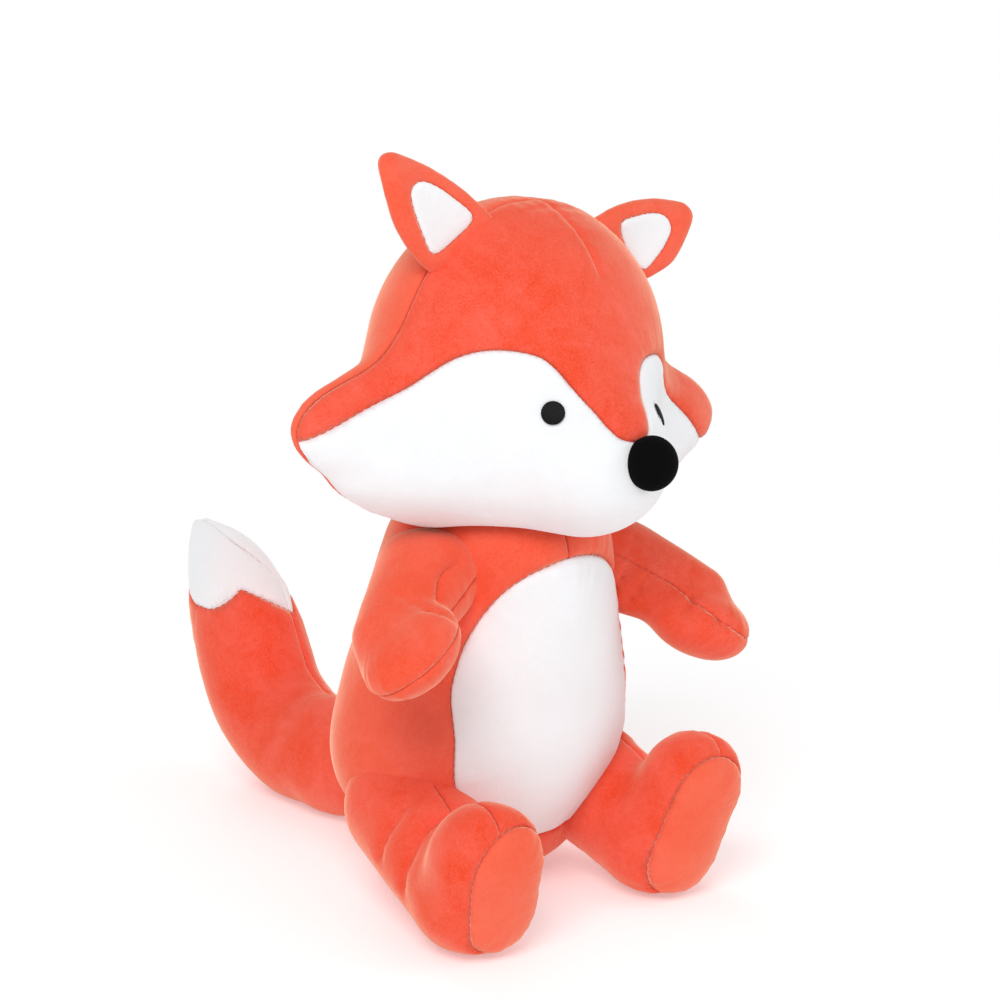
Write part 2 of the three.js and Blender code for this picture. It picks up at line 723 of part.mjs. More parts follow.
function makeTail() {
  const low = 0.486 * tailThickness - restFlat - tailRootHeight;
  const points = tailShares.map(([back, rise], index) => (
    new THREE.Vector3(0, back * tailReach, index > 0 ? low + rise * (tailRise - low) : 0)));
  const curve = new THREE.CatmullRomCurve3(points);
  const radiusCurve = new THREE.SplineCurve(
    [tailRootRadius, ...tailRadiusShares.map((share) => share * tailThickness)]
      .map((radius, index) => new THREE.Vector2(index, radius)));
  const links = 14;
  const chain = Array.from({ length: links + 1 }, (_, link) => curve.getPoint(link / links).toArray());
  const radii = chain.map((_, link) => radiusCurve.getPoint(link / links).y);
  const tailSkin = { ringShare: 1, crowd: 0.2, limit: tailThickness };
  const form = stuffed(chainedMass(chain, radii), curve, 16, 14, tailSkin);
  const { cover, filling } = joined(form, tailFrame, toFrame(underground, tailFrame));
  const zigzag = (margin) => frontPrism(tipOutline(margin));
  const base = halves(cover.subtract(zigzag(seamGap)));
  const tip = halves(cover.intersect(zigzag(0)));
  tailFrame.add(
    piece('tail_stuffing', filling, filler()),
    piece('tail_left', base[0], orangePlush()),
    piece('tail_right', base[1], orangePlush()),
    piece('tail_tip_left', tip[0], whitePlush()),
    piece('tail_tip_right', tip[1], whitePlush()));
}

fox.add(...makeBody(), piece('neck_stuffing', neckPad(0), filler()));
headFrame.add(...makeHead(), makeNose());
for (const [name, side] of sides) {
  headFrame.add(makeEye(name, side), makeEar(name, side));
  makeArm(name, side);
  makeLeg(name, side);
}
makeTail();

export default fox;
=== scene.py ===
"""A sitting plush fox, sewn from short-pile plush panels and stuffed with fibre."""

import itertools
import math

import bpy
import numpy as np
from mathutils import Matrix, Vector
from mathutils.kdtree import KDTree


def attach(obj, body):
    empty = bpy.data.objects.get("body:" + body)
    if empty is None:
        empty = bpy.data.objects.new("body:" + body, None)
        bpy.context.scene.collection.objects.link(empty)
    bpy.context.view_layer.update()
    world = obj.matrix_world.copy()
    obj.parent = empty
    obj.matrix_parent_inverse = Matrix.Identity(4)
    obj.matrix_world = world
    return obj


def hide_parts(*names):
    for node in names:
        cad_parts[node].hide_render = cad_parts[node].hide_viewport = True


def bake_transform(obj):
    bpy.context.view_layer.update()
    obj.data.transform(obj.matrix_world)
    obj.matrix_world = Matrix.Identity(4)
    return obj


bl_info = {
    "name": "Plush Fox",
    "version": (1, 0, 0),
    "blender": (4, 5, 0),
    "location": "View3D > Sidebar > Plush Fox",
    "description": "Makes a sewn and stuffed plush fox around its packed frame",
    "category": "Object",
}

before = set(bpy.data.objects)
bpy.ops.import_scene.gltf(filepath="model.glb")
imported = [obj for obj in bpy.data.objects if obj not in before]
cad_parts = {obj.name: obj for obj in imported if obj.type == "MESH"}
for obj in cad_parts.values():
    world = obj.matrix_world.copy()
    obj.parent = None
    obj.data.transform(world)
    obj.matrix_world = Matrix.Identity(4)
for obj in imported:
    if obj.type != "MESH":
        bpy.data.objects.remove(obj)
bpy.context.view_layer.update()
MM = 0.001
SIDES = (("left", 1), ("right", -1))

# How softly a form's rim rounds where it is pressed: on the ground, and against another form
GROUND_ROUNDING, PRESS_ROUNDING = 4 * MM, 6 * MM
# How far the head's hollow stays clear of the neck
NECK_GAP = 0.5 * MM
# The neck's pad of fibre: its radius and thickness, and how far its skin is looked for
PAD_RADIUS, PAD_THICKNESS, PAD_LIMIT = 22 * MM, 7 * MM, 30 * MM
# The filling's lumps: their height, size and seed
LUMPS = ((0.55 * MM, 30 * MM, 7), (0.14 * MM, 9 * MM, 8))


# Settings

def number(values, **words):
    """A setting of one number, or of two: the left side's and the right side's."""
    if len(values) == 1:
        return bpy.props.FloatProperty(default=values[0], precision=5, **words)
    return bpy.props.FloatVectorProperty(default=values, size=2, precision=5, **words)


def length(name, description, *millimetres):
    return number([value * MM for value in millimetres], name=name, description=description,
                  unit="LENGTH")


def angle(name, description, *degrees):
    return number([math.radians(value) for value in degrees], name=name, description=description,
                  unit="ROTATION")


def count(name, description, default):
    return bpy.props.IntProperty(name=name, description=description, default=default, min=2)


def linear(hex_colour):
    """The linear values of an sRGB hex colour."""
    parts = [int(hex_colour[place:place + 2], 16) / 255 for place in (1, 3, 5)]
    return [v / 12.92 if v <= 0.04045 else ((v + 0.055) / 1.055) ** 2.4 for v in parts]


def colour(name, description, hex_colour):
    return bpy.props.FloatVectorProperty(
        name=name, description=description, default=linear(hex_colour), subtype="COLOR",
        size=3, min=0, max=1)


class FoxHead(bpy.types.PropertyGroup):
    width: length("Width", "Over both cheeks", 210)
    depth: length("Depth", "From muzzle to the back of the head", 130)
    height: length("Height", "From jaw to crown", 126)
    neck_height: length("Neck height", "Height of the neck above the ground", 150)
    roll: angle("Roll", "Tilt of the head to the toy's own left", 6.9)
    seam_forward: length("Side seam", "How far before the neck the side seam lies", 18)
    patch_height: length("Face patch", "Height of the white patch's top", 71)
    patch_shift: length("Patch shift", "How far the patch lies off the middle", -3.5)
    cheek_lift: length("Cheek lift", "How much higher the left cheek is stuffed", 4)
    fineness: count("Fineness", "Points along a side of the head's grid", 92)


class FoxFace(bpy.types.PropertyGroup):
    eye: length("Eye", "Diameter of the embroidered eyes", 8.8)
    eye_spacing: length("Eye spacing", "Between the eyes' middles", 48.5)
    eye_shift: length("Eye shift", "How far the eyes lie off the middle", -2.7)
    eye_height: length("Eye height", "Above the neck", 50)
    nose_width: length("Nose width", "Width of the nose pad", 20)
    nose_depth: length("Nose depth", "Depth of the nose pad", 20)
    nose_height: length("Nose height", "Height of the nose pad", 20.8)
    nose_shift: length("Nose shift", "How far the nose sits off the middle", 1.4)
    nose_rise: length("Nose rise", "Height of its middle above the neck", 35)
    nose_forward: length("Nose forward", "How far before the neck it sits", 92.5)
    fineness: count("Fineness", "Points along a side of the nose's grid", 30)


class FoxEars(bpy.types.PropertyGroup):
    width: length("Width", "Width at the base", 38)
    height: length("Height", "From base to tip of each ear", 38.5, 45)
    thickness: length("Thickness", "Thickness at the middle", 10)
    spacing: length("Spacing", "Between the ears' middles", 87)
    rise: length("Rise", "Height of the base above the neck", 108)
    lean: angle("Lean", "How far each ear leans outwards", 49, 37)
    fineness: count("Fineness", "Points along a side of an ear's grid", 44)


class FoxBody(bpy.types.PropertyGroup):
    width: length("Width", "Over the hips", 120)
    depth: length("Depth", "From belly to back", 110)
    height: length("Height", "From the seat to the neck", 150)
    seat_seam: length("Seat seam", "Height of the seat panel's seam", 18)
    tongue_width: length("Tongue width", "Width of the seat panel between the legs", 74)
    tongue_height: length("Tongue height", "Height that it reaches there", 38)
    belly_bottom: length("Belly bottom", "Lower end of the white patch", 24)
    belly_top: length("Belly top", "Upper end of the white patch", 142)
    belly_width: length("Belly width", "Width of the white patch", 92)
    belly_shift: length("Belly shift", "How far the patch lies off the middle", 3.5)
    rest_flat: length("Rest", "How deep the seat is pressed flat", 1)
    neck_radius: length("Neck radius", "Radius of the round face that the head rests on", 73)
    neck_depth: length("Neck depth", "Depth of its centre below the neck", 57)
    neck_forward: length("Neck forward", "How far before the middle its centre lies", 11)
    fineness: count("Fineness", "Points along a side of the body's grid", 84)


class FoxArms(bpy.types.PropertyGroup):
    length: length("Length", "From shoulder to paw", 70)
    root: length("Shoulder", "Thickness at the shoulder", 40)
    wrist: length("Wrist", "Thickness at the wrist", 28)
    spacing: length("Spacing", "Between the shoulders", 86)
    height: length("Height", "Height of the shoulders", 133)
    forward: length("Forward", "How far before the middle they lie", 20.7)
    drop: length("Drop", "How much lower the left one lies", 2.5)
    splay: angle("Splay", "How far each arm points outwards", 47.5, 58)
    droop: angle("Droop", "How far each arm points down", 24.5, 18)
    twist: angle("Twist", "How far each arm is turned about its length", 7, 32)
    press: length("Shoulder press", "How far the head presses each shoulder down", 5, 1.5)
    seam: length("Seam height", "Height of each arm's seam above its middle", 5, -9.5)
    sag: length("Seam sag", "How much lower each seam runs at the paw", 10, 1)
    fineness: count("Fineness", "Points along a side of an arm's grid", 40)


class FoxLegs(bpy.types.PropertyGroup):
    length: length("Length", "From hip to sole", 90)
    root: length("Hip", "Thickness at the hip", 50)
    ankle: length("Ankle", "Thickness at the heel", 45)
    toe: length("Toe", "Thickness at the toe", 44)
    spacing: length("Spacing", "Between the hips", 84)
    height: length("Height", "Height of the hips", 39)
    forward: length("Forward", "How far before the middle they lie", 6)
    sole_lean: angle("Sole lean", "How far the sole leans", 4)
    seam_lean: angle("Seam lean", "How far the sole's seam leans", 14)
    splay: angle("Splay", "How far each leg points outwards", 4, 13)
    roll: angle("Roll", "How far each foot rolls outwards", 16, 2)
    foot: length("Foot height", "Height of each foot", 72, 54)
    border: length("Sole border", "Distance of each sole's seam from the sole", 6, 2.5)
    turn: angle("Sole turn", "How far each sole's seam runs back on its inner side", 0, 18)
    fineness: count("Fineness", "Points along a side of a leg's grid", 46)


class FoxTail(bpy.types.PropertyGroup):
    thickness: length("Thickness", "Thickness at its middle", 50)
    reach: length("Reach", "How far it reaches back", 146)
    rise: length("Rise", "How far its tip rises above its root", 76)
    root_height: length("Root height", "Height of its root", 29)
    root_back: length("Root back", "How far behind the middle its root lies", 52)
    root_radius: length("Root radius", "Radius at its root", 17)
    tip_height: length("Tip height", "Height of the white tip's edge above the root", 60)
    fineness: count("Fineness", "Points along a side of the tail's grid", 54)


class FoxCloth(bpy.types.PropertyGroup):
    thickness: length("Thickness", "Thickness of the plush", 2.4)
    seam_depth: length("Seam depth", "How deep a seam draws the cloth in", 1.5)
    seam_width: length("Seam width", "How far a seam rounds the cloth", 4.2)
    pucker: length("Pucker", "Height of the puckers beside a seam", 0.35)
    pucker_pitch: length("Pucker pitch", "Distance between puckers", 6)
    stitch: length("Stitch", "Length of one stitch", 2.6)
    thread: length("Thread", "Thickness of the thread", 0.4)
    orange: colour("Orange", "Dyed plush of the body", "#F24D2C")
    white: colour("White", "Undyed plush of face, belly, ears and tip", "#F0F2F4")
    black: colour("Black", "Dyed plush of the nose", "#0B0B0C")
    thread_black: colour("Thread", "Embroidery thread of the eyes", "#070708")
    filling: colour("Filling", "Polyester fibre inside", "#ECE9E2")


def settings():
    """The scene's fox settings, group by group."""
    return bpy.context.scene.plush_fox


# Round masses: each is a function that gives about how far points lie outside it

def round_mass(at, radii):
    at, radii = np.array(at), np.array(radii)

    def field(points):
        scaled = (points - at) / radii
        reach = np.linalg.norm(scaled, axis=1)
        slope = np.linalg.norm(scaled / radii, axis=1)
        return reach * (reach - 1) / np.maximum(slope, 1e-9)
    return field


def tapered_mass(start, end, start_radius, end_radius):
    """A mass that tapers from one ball to another."""
    start, end = np.array(start), np.array(end)
    run = end - start
    reach = np.linalg.norm(run)
    sine = (start_radius - end_radius) / reach
    cosine = math.sqrt(1 - sine * sine)

    def field(points):
        offset = points - start
        along = offset @ run / reach
        away = np.sqrt(np.maximum((offset ** 2).sum(1) - along ** 2, 0))
        foot = along - away * sine / cosine
        side = away * cosine + along * sine - start_radius
        first = np.hypot(away, along) - start_radius
        last = np.hypot(away, along - reach) - end_radius
        return np.where(foot <= 0, first, np.where(foot >= reach, last, side))
    return field


def chained_mass(points, radii):
    links = [tapered_mass(*pair) for pair in zip(points[:-1], points[1:], radii[:-1], radii[1:])]
    return lambda at: np.minimum.reduce([link(at) for link in links])


def soft_min(a, b, width):
    overlap = np.maximum(width - np.abs(a - b), 0) / width
    return np.minimum(a, b) - overlap * overlap * width / 4


def blended(width, *masses):
    """Masses under one skin, with a soft hollow of the given width between them."""
    def field(points):
        near = masses[0](points)
        for mass in masses[1:]:
            near = soft_min(near, mass(points), width)
        return near
    return field


def pressed(mass, at, facing, width):
    """A mass pressed flat by a plane, with a rounded rim."""
    at, facing = np.array(at), np.array(facing)
    return lambda points: -soft_min(-mass(points), -((points - at) @ facing), width)


def mirrored(mass):
    return lambda points: mass(points * np.where(points[:, :1] < 0, [-1, 1, 1], [1, 1, 1]))


def handed(mass, side):
    return lambda points: mass(points * [side, 1, 1])


def grown(mass, by):
    return lambda points: mass(points) - by


def share_of(shares, sizes):
    return [share * size for share, size in zip(shares, sizes)]


def outward(field, points, reach=1.5 * MM):
    """The field's outward directions."""
    slope = np.stack([field(points + step) - field(points - step) for step in np.eye(3) * reach], 1)
    return slope / np.maximum(np.linalg.norm(slope, axis=1, keepdims=True), 1e-12)


# Skins: a dense grid of points cast from a spine onto a field's outermost surface

def ball_grid(fineness):
    """Directions and triangles of a cube's grid pushed out to a ball."""
    line = np.tan(np.linspace(-math.pi / 4, math.pi / 4, fineness + 1))
    u, v = np.meshgrid(line, line, indexing="ij")
    one = np.ones_like(u)
    faces = [(one, u, v), (-one, v, u), (v, one, u), (u, -one, v), (u, v, one), (v, u, -one)]
    points = np.concatenate([np.stack(face, -1).reshape(-1, 3) for face in faces])
    points /= np.linalg.norm(points, axis=1, keepdims=True)
    index = np.arange((fineness + 1) ** 2).reshape(fineness + 1, -1)
    a, b = index[:-1, :-1].ravel(), index[1:, :-1].ravel()
    c, d = index[1:, 1:].ravel(), index[:-1, 1:].ravel()
    face = np.concatenate([np.stack([a, b, c], 1), np.stack([a, c, d], 1)])
    triangles = np.concatenate([face + place * index.size for place in range(len(faces))])
    merged, place = np.unique(np.round(points, 7), axis=0, return_inverse=True)
    return merged, place.ravel()[triangles]


def cast_out(field, origins, ways, limit, steps=56, halvings=14):
    """Distances from the origins to the field's outermost surface along the ways."""
    near = np.zeros(len(ways))
    searching = np.ones(len(ways), bool)
    for step in range(steps, 0, -1):
        reach = limit * step / steps
        inside = np.zeros(len(ways), bool)
        inside[searching] = field(origins[searching] + ways[searching] * reach) <= 0
        near[inside] = reach
        searching &= ~inside
        if not searching.any():
            break
    far = near + limit / steps
    for _ in range(halvings):
        middle = (near + far) / 2
        inside = field(origins + ways * middle[:, None]) <= 0
        near = np.where(inside, middle, near)
        far = np.where(inside, far, middle)
    return near


def straight_spine(start, end, forward):
    """Places and axes along a straight spine, for values from -1 to 1."""
    start, end, forward = np.array(start), np.array(end), np.array(forward)
    side = np.array([1.0, 0, 0])
    up = np.cross(forward, side)

    def spine(value):
        share = (value[:, None] + 1) / 2
        return start + (end - start) * share, side, up, forward
    return spine


def curved_spine(points, margin):
    """Places and axes along a curve in the YZ plane, kept a margin share inside its ends."""
    points = np.array(points)
    places = np.linspace(0, 1, len(points))
    runs = np.gradient(points, axis=0)

    def spine(value):
        share = margin + (1 - 2 * margin) * (value + 1) / 2
        at = np.stack([np.interp(share, places, points[:, axis]) for axis in range(3)], 1)
        forward = np.stack([np.interp(share, places, runs[:, axis]) for axis in range(3)], 1)
        forward /= np.linalg.norm(forward, axis=1, keepdims=True)
        side = np.tile([1.0, 0, 0], (len(share), 1))
        return at, side, np.cross(forward, side), forward
    return spine


def skin(field, spine, fineness, limit):
    """The closed skin of a field, as points and triangles that face out."""
    ways, triangles = ball_grid(fineness)
    origins, side, up, forward = spine(ways[:, 2])
    turned = ways[:, :1] * side + ways[:, 1:2] * up + ways[:, 2:3] * forward
    reach = cast_out(field, origins, turned, limit)
    return origins + turned * reach[:, None], triangles


# Outlines and cut lines

def smooth_line(points, steps, closed=False):
    """A smooth line through the points, with the given steps between each two."""
    points = np.array(points, float)
    if closed:
        padded = np.concatenate([points[-1:], points, points[:2]])
    else:
        padded = np.concatenate([2 * points[:1] - points[1:2], points, 2 * points[-1:] - points[-2:-1]])
    share = np.linspace(0, 1, steps, endpoint=False)[:, None]
    pieces = []
    for a, b, c, d in zip(padded[:-3], padded[1:-2], padded[2:-1], padded[3:]):
        curve = 2 * b + (c - a) * share
        curve = curve + (2 * a - 5 * b + 4 * c - d) * share ** 2
        curve = curve + (3 * b - a - 3 * c + d) * share ** 3
        pieces.append(curve / 2)
    line = np.concatenate(pieces)
    return line if closed else np.concatenate([line, points[-1:]])


def outline_distance(flat, outline):
    """How far flat points lie outside a closed outline; negative inside."""
    nearest = np.full(len(flat), np.inf)
    inside = np.zeros(len(flat), bool)
    for start, end in zip(outline, np.roll(outline, -1, axis=0)):
        run = end - start
        share = np.clip((flat - start) @ run / max(run @ run, 1e-18), 0, 1)
        offset = flat - start - share[:, None] * run
        nearest = np.minimum(nearest, (offset ** 2).sum(1))
        above = (start[1] > flat[:, 1]) != (end[1] > flat[:, 1])
        if above.any():
            rise = run[1] if run[1] else 1e-12
            crossing = start[0] + run[0] * (flat[:, 1] - start[1]) / rise
            inside ^= above & (flat[:, 0] < crossing)
    return np.sqrt(nearest) * np.where(inside, -1, 1)


def plane_line(axis, at=0.0):
    return lambda points: points[:, axis] - at


def directed_edges(triangles):
    return np.concatenate([triangles[:, [0, 1]], triangles[:, [1, 2]], triangles[:, [2, 0]]])


# A cut moves a grid point onto its line when the point is nearer than this share of an edge
SNAP = 0.3


def cut(points, triangles, value):
    """Splits a skin where the value changes sign, with points on the line.

    Gives the points, the triangles above and below, and the line's pieces."""
    total = len(points)
    edges = np.unique(np.sort(directed_edges(triangles), axis=1), axis=0)
    first, second = edges[value[edges].prod(1) < 0].T
    share = value[first] / (value[first] - value[second])
    placed, value = points.copy(), value.copy()
    keys = np.sort(directed_edges(triangles), axis=1) @ [total, 1]
    rim_keys, uses = np.unique(keys, return_counts=True)
    rim_keys = rim_keys[uses == 1]
    on_rim = np.isin(np.arange(total), np.concatenate([rim_keys // total, rim_keys % total]))
    along_rim = np.isin(first * total + second, rim_keys)
    for start, end, part in ((first, second, share), (second, first, 1 - share)):
        near = np.flatnonzero((part < SNAP) & (along_rim | ~on_rim[start]))
        near = near[np.argsort(-part[near])]
        start, end = start[near], end[near]
        placed[start] = points[start] + (points[end] - points[start]) * part[near, None]
        value[start] = 0
    edges = edges[value[edges].prod(1) < 0]
    first, second = edges.T
    share = (value[first] / (value[first] - value[second]))[:, None]
    points = np.concatenate([placed, placed[first] + (placed[second] - placed[first]) * share])
    value = np.concatenate([value, np.zeros(len(edges))])
    keys = first * total + second

    def between(a, b):
        return total + np.searchsorted(keys, np.minimum(a, b) * total + np.maximum(a, b))

    sign = np.sign(value[triangles])
    mixed = (sign.max(1) > 0) & (sign.min(1) < 0)
    lone = mixed & (sign != 0).all(1)
    touching = mixed & ~lone
    odd = np.argmax(sign[lone] == -sign[lone].sum(1, keepdims=True), axis=1)
    a, b, c = triangles[lone][np.arange(lone.sum())[:, None], (odd[:, None] + [0, 1, 2]) % 3].T
    ab, ac = between(a, b), between(a, c)
    zero = np.argmax(sign[touching] == 0, axis=1)
    z, d, e = triangles[touching][np.arange(touching.sum())[:, None], (zero[:, None] + [0, 1, 2]) % 3].T
    de = between(d, e)
    parts = [triangles[~mixed]] + [np.stack(part, 1) for part in (
        (a, ab, ac), (ab, b, c), (ab, c, ac), (z, d, de), (z, de, e))]
    triangles = np.concatenate(parts)
    above = value[triangles].sum(1) > 0
    upper, lower = triangles[above], triangles[~above]
    rim = directed_edges(upper)
    rim = rim[(value[rim] == 0).all(1)]
    other = directed_edges(lower)
    match = np.isin(rim[:, 0] * len(points) + rim[:, 1], other[:, 1] * len(points) + other[:, 0])
    return points, upper, lower, points[rim[match]]


def soft_noise(points, size, seed):
    """Smooth values from -1 to 1 that change over the given size."""
    random = np.random.default_rng(seed)
    cells = 16
    table = random.uniform(-1, 1, (cells, cells, cells))
    scaled = points / size + random.uniform(0, cells, 3)
    cell = np.floor(scaled).astype(int)
    part = scaled - cell
    part = part * part * (3 - 2 * part)
    total = np.zeros(len(points))
    for corner in itertools.product((0, 1), repeat=3):
        weight = np.prod(np.where(corner, part, 1 - part), axis=1)
        total += weight * table[tuple(((cell + corner) % cells).T)]
    return total


def set_down(points, place):
    matrix = np.array(place)
    return points @ matrix[:3, :3].T + matrix[:3, 3]


class Form:
    """A stuffed form: its field, the panels of its skin and the seams that shape them."""

    def __init__(self, field, spine, fineness, limit, place):
        self.field, self.spine, self.limit, self.place = field, spine, limit, place
        self.panels = {"skin": skin(field, spine, fineness, limit)}
        self.fineness = fineness
        self.seams = []
        self.sewn = []

    def split(self, panel, line, above, below, depth=1.0, pucker=1.0):
        """Cuts a panel along a seam, which draws the cloth in, and names its two parts."""
        points, triangles = self.panels.pop(panel)
        points, upper, lower, pieces = cut(points, triangles, line(points))
        self.panels[above] = (points, upper)
        self.panels[below] = (points, lower)
        self.seams.append((pieces, depth, 1.0, pucker))
        self.sewn.append(pieces)

    def crease(self, line, depth, width=1.0, sewn=False):
        """Draws the cloth in along a line of places near the surface, given in millimetres."""
        line = smooth_line(np.array(line) * MM, 8)
        for _ in range(6):
            line = line - outward(self.field, line) * self.field(line)[:, None]
        pieces = np.stack([line[:-1], line[1:]], 1)
        self.seams.append((pieces, depth, width, 1.0 if sewn else 0.0))
        if sewn:
            self.sewn.append(pieces)

    def drawn_in(self, points):
        """Points moved by the seams, the puckers beside them and the filling's lumps."""
        sizes = settings().cloth
        facing = outward(self.field, points)
        sunk = np.zeros(len(points))
        raised = np.zeros(len(points))
        for number, (pieces, depth, width, pucker) in enumerate(self.seams):
            shares = np.linspace(0, 1, 4, endpoint=False)
            samples = (pieces[:, None, 0] + (pieces[:, 1] - pieces[:, 0])[:, None] * shares[:, None])
            samples = samples.reshape(-1, 3)
            tree = KDTree(len(samples))
            for place, sample in enumerate(samples):
                tree.insert(sample, place)
            tree.balance()
            found = [tree.find(point)[1:] for point in points]
            nearest, distance = (np.array(values) for values in zip(*found))
            reach = sizes.seam_width * width
            slack = 1 - np.minimum(distance, reach) / reach
            groove = 1 - np.sqrt(np.maximum(1 - slack ** 2, 0))
            sunk = np.maximum(sunk, depth * sizes.seam_depth * groove)
            if pucker:
                ripple = soft_noise(samples[nearest], sizes.pucker_pitch / 2, 40 + number)
                fade = distance / reach * np.exp(1 - distance / reach)
                raised += pucker * sizes.pucker * ripple * fade
        lumps = sum(height * soft_noise(points, size, seed) for height, size, seed in LUMPS)
        return points + facing * (raised + lumps - sunk)[:, None]

    def placed(self, points):
        return set_down(points, self.place)


# Pieces

def mesh_object(name, points, triangles, material):
    mesh = bpy.data.meshes.new(name)
    mesh.from_pydata(points.tolist(), [], triangles.tolist())
    mesh.materials.append(material)
    mesh.polygons.foreach_set("use_smooth", [True] * len(mesh.polygons))
    mesh.validate()
    made = bpy.data.objects.new(name, mesh)
    bpy.context.scene.collection.objects.link(made)
    return made


def belong(piece, body, slot, *nodes):
    """Ties a finished piece to its body and hides the frame's nodes that it stands for; the slot is not
    used.
    """
    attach(piece, body)
    if nodes:
        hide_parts(*nodes)
    return piece


# Painted sheen: how far each panel's colour is painted paler, standing in for the pile's pale look where
# light grazes it and on the lit side; it varies softly over a panel at the given size
PAINTED_SHEEN_SIZE, PAINTED_SHEEN_SEED = 22 * MM, 9
PAINTED_SHEEN = {"head_back_left": 0.7, "head_back_right": 0.7, "body_left_side": 0.35, "body_right_side": 0.35,
       "ear_left_front": 0.45, "ear_right_front": 0.45, "arm_right_outer": 0.25, "arm_right_inner": 0.25,
       "leg_left_sole": 0.8, "leg_right_sole": 0.8}


def sew_panel(form, panel, body, slot, material, node):
    """One plush panel of a stuffed form, with the cloth's thickness."""
    points, triangles = form.panels[panel]
    used, places = np.unique(triangles, return_inverse=True)
    shaped = form.placed(form.drawn_in(points[used]))
    piece = mesh_object(f"{panel}_plush", shaped, places.reshape(-1, 3), material)
    # The "nap" attribute holds the painted sheen: each point's share of the plush's pale colour
    nap = piece.data.attributes.new("nap", "FLOAT", "POINT")
    soft = soft_noise(points[used], PAINTED_SHEEN_SIZE, PAINTED_SHEEN_SEED)
    nap.data.foreach_set("value", PAINTED_SHEEN.get(panel, 0) * (0.75 + 0.25 * soft))
    cloth = piece.modifiers.new("Cloth", "SOLIDIFY")
    cloth.thickness = settings().cloth.thickness
    cloth.offset = -1
    return belong(piece, body, slot, node)


def fill_form(form, name, body):
    """The fibre inside a form."""
    depth = settings().cloth.thickness + 1.5 * settings().cloth.seam_depth
    points, triangles = skin(grown(form.field, -depth), form.spine, form.fineness // 3, form.limit)
    piece = mesh_object(f"{name}_fibre", form.placed(points), triangles, fibre_filling())
    return belong(piece, body, "filling", f"{name}_stuffing")


def stuff(form, name, body, orange, white=()):
    """Sews a form's orange and white panels, fills it and adds its stitches."""
    cloths = [(panel, "orange_plush", orange_plush) for panel in orange]
    cloths += [(panel, "white_plush", white_plush) for panel in white]
    made = [sew_panel(form, panel, body, slot, cloth(), panel) for panel, slot, cloth in cloths]
    return [*made, fill_form(form, name, body), sew_seams(form, name, body)]


def bend_at_root(made):
    """Takes a limb's cloth and filling off the body's empty and bakes their place into their meshes."""
    for piece in made:
        piece.parent = None
        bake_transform(piece)


# Materials

def add(tree, kind, inputs=None, **values):
    """Adds a node with its settings, and its inputs as values or as the outputs that feed them."""
    node = tree.nodes.new(kind)
    for name, value in values.items():
        setattr(node, name, value)
    for name, value in (inputs or {}).items():
        if isinstance(value, bpy.types.NodeSocket):
            tree.links.new(value, node.inputs[name])
        else:
            node.inputs[name].default_value = value
    return node


def material_tree(name):
    material = bpy.data.materials.new(name)
    material.use_nodes = True
    material.node_tree.nodes.clear()
    return material, material.node_tree


def finish_material(tree, shader):
    add(tree, "ShaderNodeOutputMaterial", {"Surface": shader.outputs[0]})


def once(make):
    """Makes a material once and gives it again afterwards."""
    made = {}

    def get():
        if "material" not in made:
            made["material"] = make()
        return made["material"]
    return get


def opaque(rgb):
    return [*rgb, 1.0]


def tinted(rgb, hex_colour, share):
    """A share of the way from one colour to another."""
    return [a + (b - a) * share for a, b in zip(rgb, linear(hex_colour))]


# The pile's noises: each one's size in millimetres, detail, roughness and distortion, how far its
# values lie from their middle and how far they move the shade
PILE = {
    "nap": (30, 3, 0.55, 0.8, 0.16, 0.3),
    "strokes": (5, 2, 0.6, 1.2, 0.2, 0.13),
    # The tufts are about 0.4 mm apart, drawn at 0.7 mm so that they show
    "tufts": (0.7, 2, 0.7, 0, 0.2, 0.3)}


def plush(name, light, deep, pale, sheen, sheen_tint):
    """Short-pile polyester plush: brushed nap shows as soft lighter and deeper patches, the "nap" attribute
    mixes in the pale colour as painted sheen, and the pile's tips catch light at the edges of the form."""
    material, tree = material_tree(name)
    place = add(tree, "ShaderNodeTexCoord").outputs["Object"]
    level, heights = 0.5, {}
    for noise, (size, detail, roughness, distortion, swing, share) in PILE.items():
        heights[noise] = add(tree, "ShaderNodeTexNoise", {
            "Vector": place, "Scale": 1 / (size * MM), "Detail": detail, "Roughness": roughness,
            "Distortion": distortion}).outputs["Fac"]
        moved = add(tree, "ShaderNodeMapRange", {
            "Value": heights[noise], "From Min": 0.5 - swing, "From Max": 0.5 + swing,
            "To Min": -share, "To Max": share}).outputs["Result"]
        level = add(tree, "ShaderNodeMath", {0: level, 1: moved}, use_clamp=True).outputs[0]
    shade = add(tree, "ShaderNodeMix", {
        "Factor": level, 6: opaque(deep), 7: opaque(light)}, data_type="RGBA").outputs[2]
    # Painted sheen: the "nap" attribute mixes the pale colour into the shade
    way = add(tree, "ShaderNodeAttribute", attribute_name="nap").outputs["Fac"]
    dyed = add(tree, "ShaderNodeMix", {"Factor": way, 6: shade, 7: opaque(pale)}, data_type="RGBA")
    pile = add(tree, "ShaderNodeBump", {
        "Height": heights["tufts"], "Strength": 0.5, "Distance": 0.3 * MM})
    bumps = add(tree, "ShaderNodeBump", {
        "Height": heights["strokes"], "Strength": 0.25, "Distance": 0.6 * MM,
        "Normal": pile.outputs["Normal"]})
    finish_material(tree, add(tree, "ShaderNodeBsdfPrincipled", {
        "Base Color": dyed.outputs[2], "Roughness": 0.95, "Specular IOR Level": 0.03,
        "Sheen Weight": sheen, "Sheen Roughness": 0.4, "Sheen Tint": opaque(linear(sheen_tint)),
        "Normal": bumps.outputs["Normal"]}))
    return material


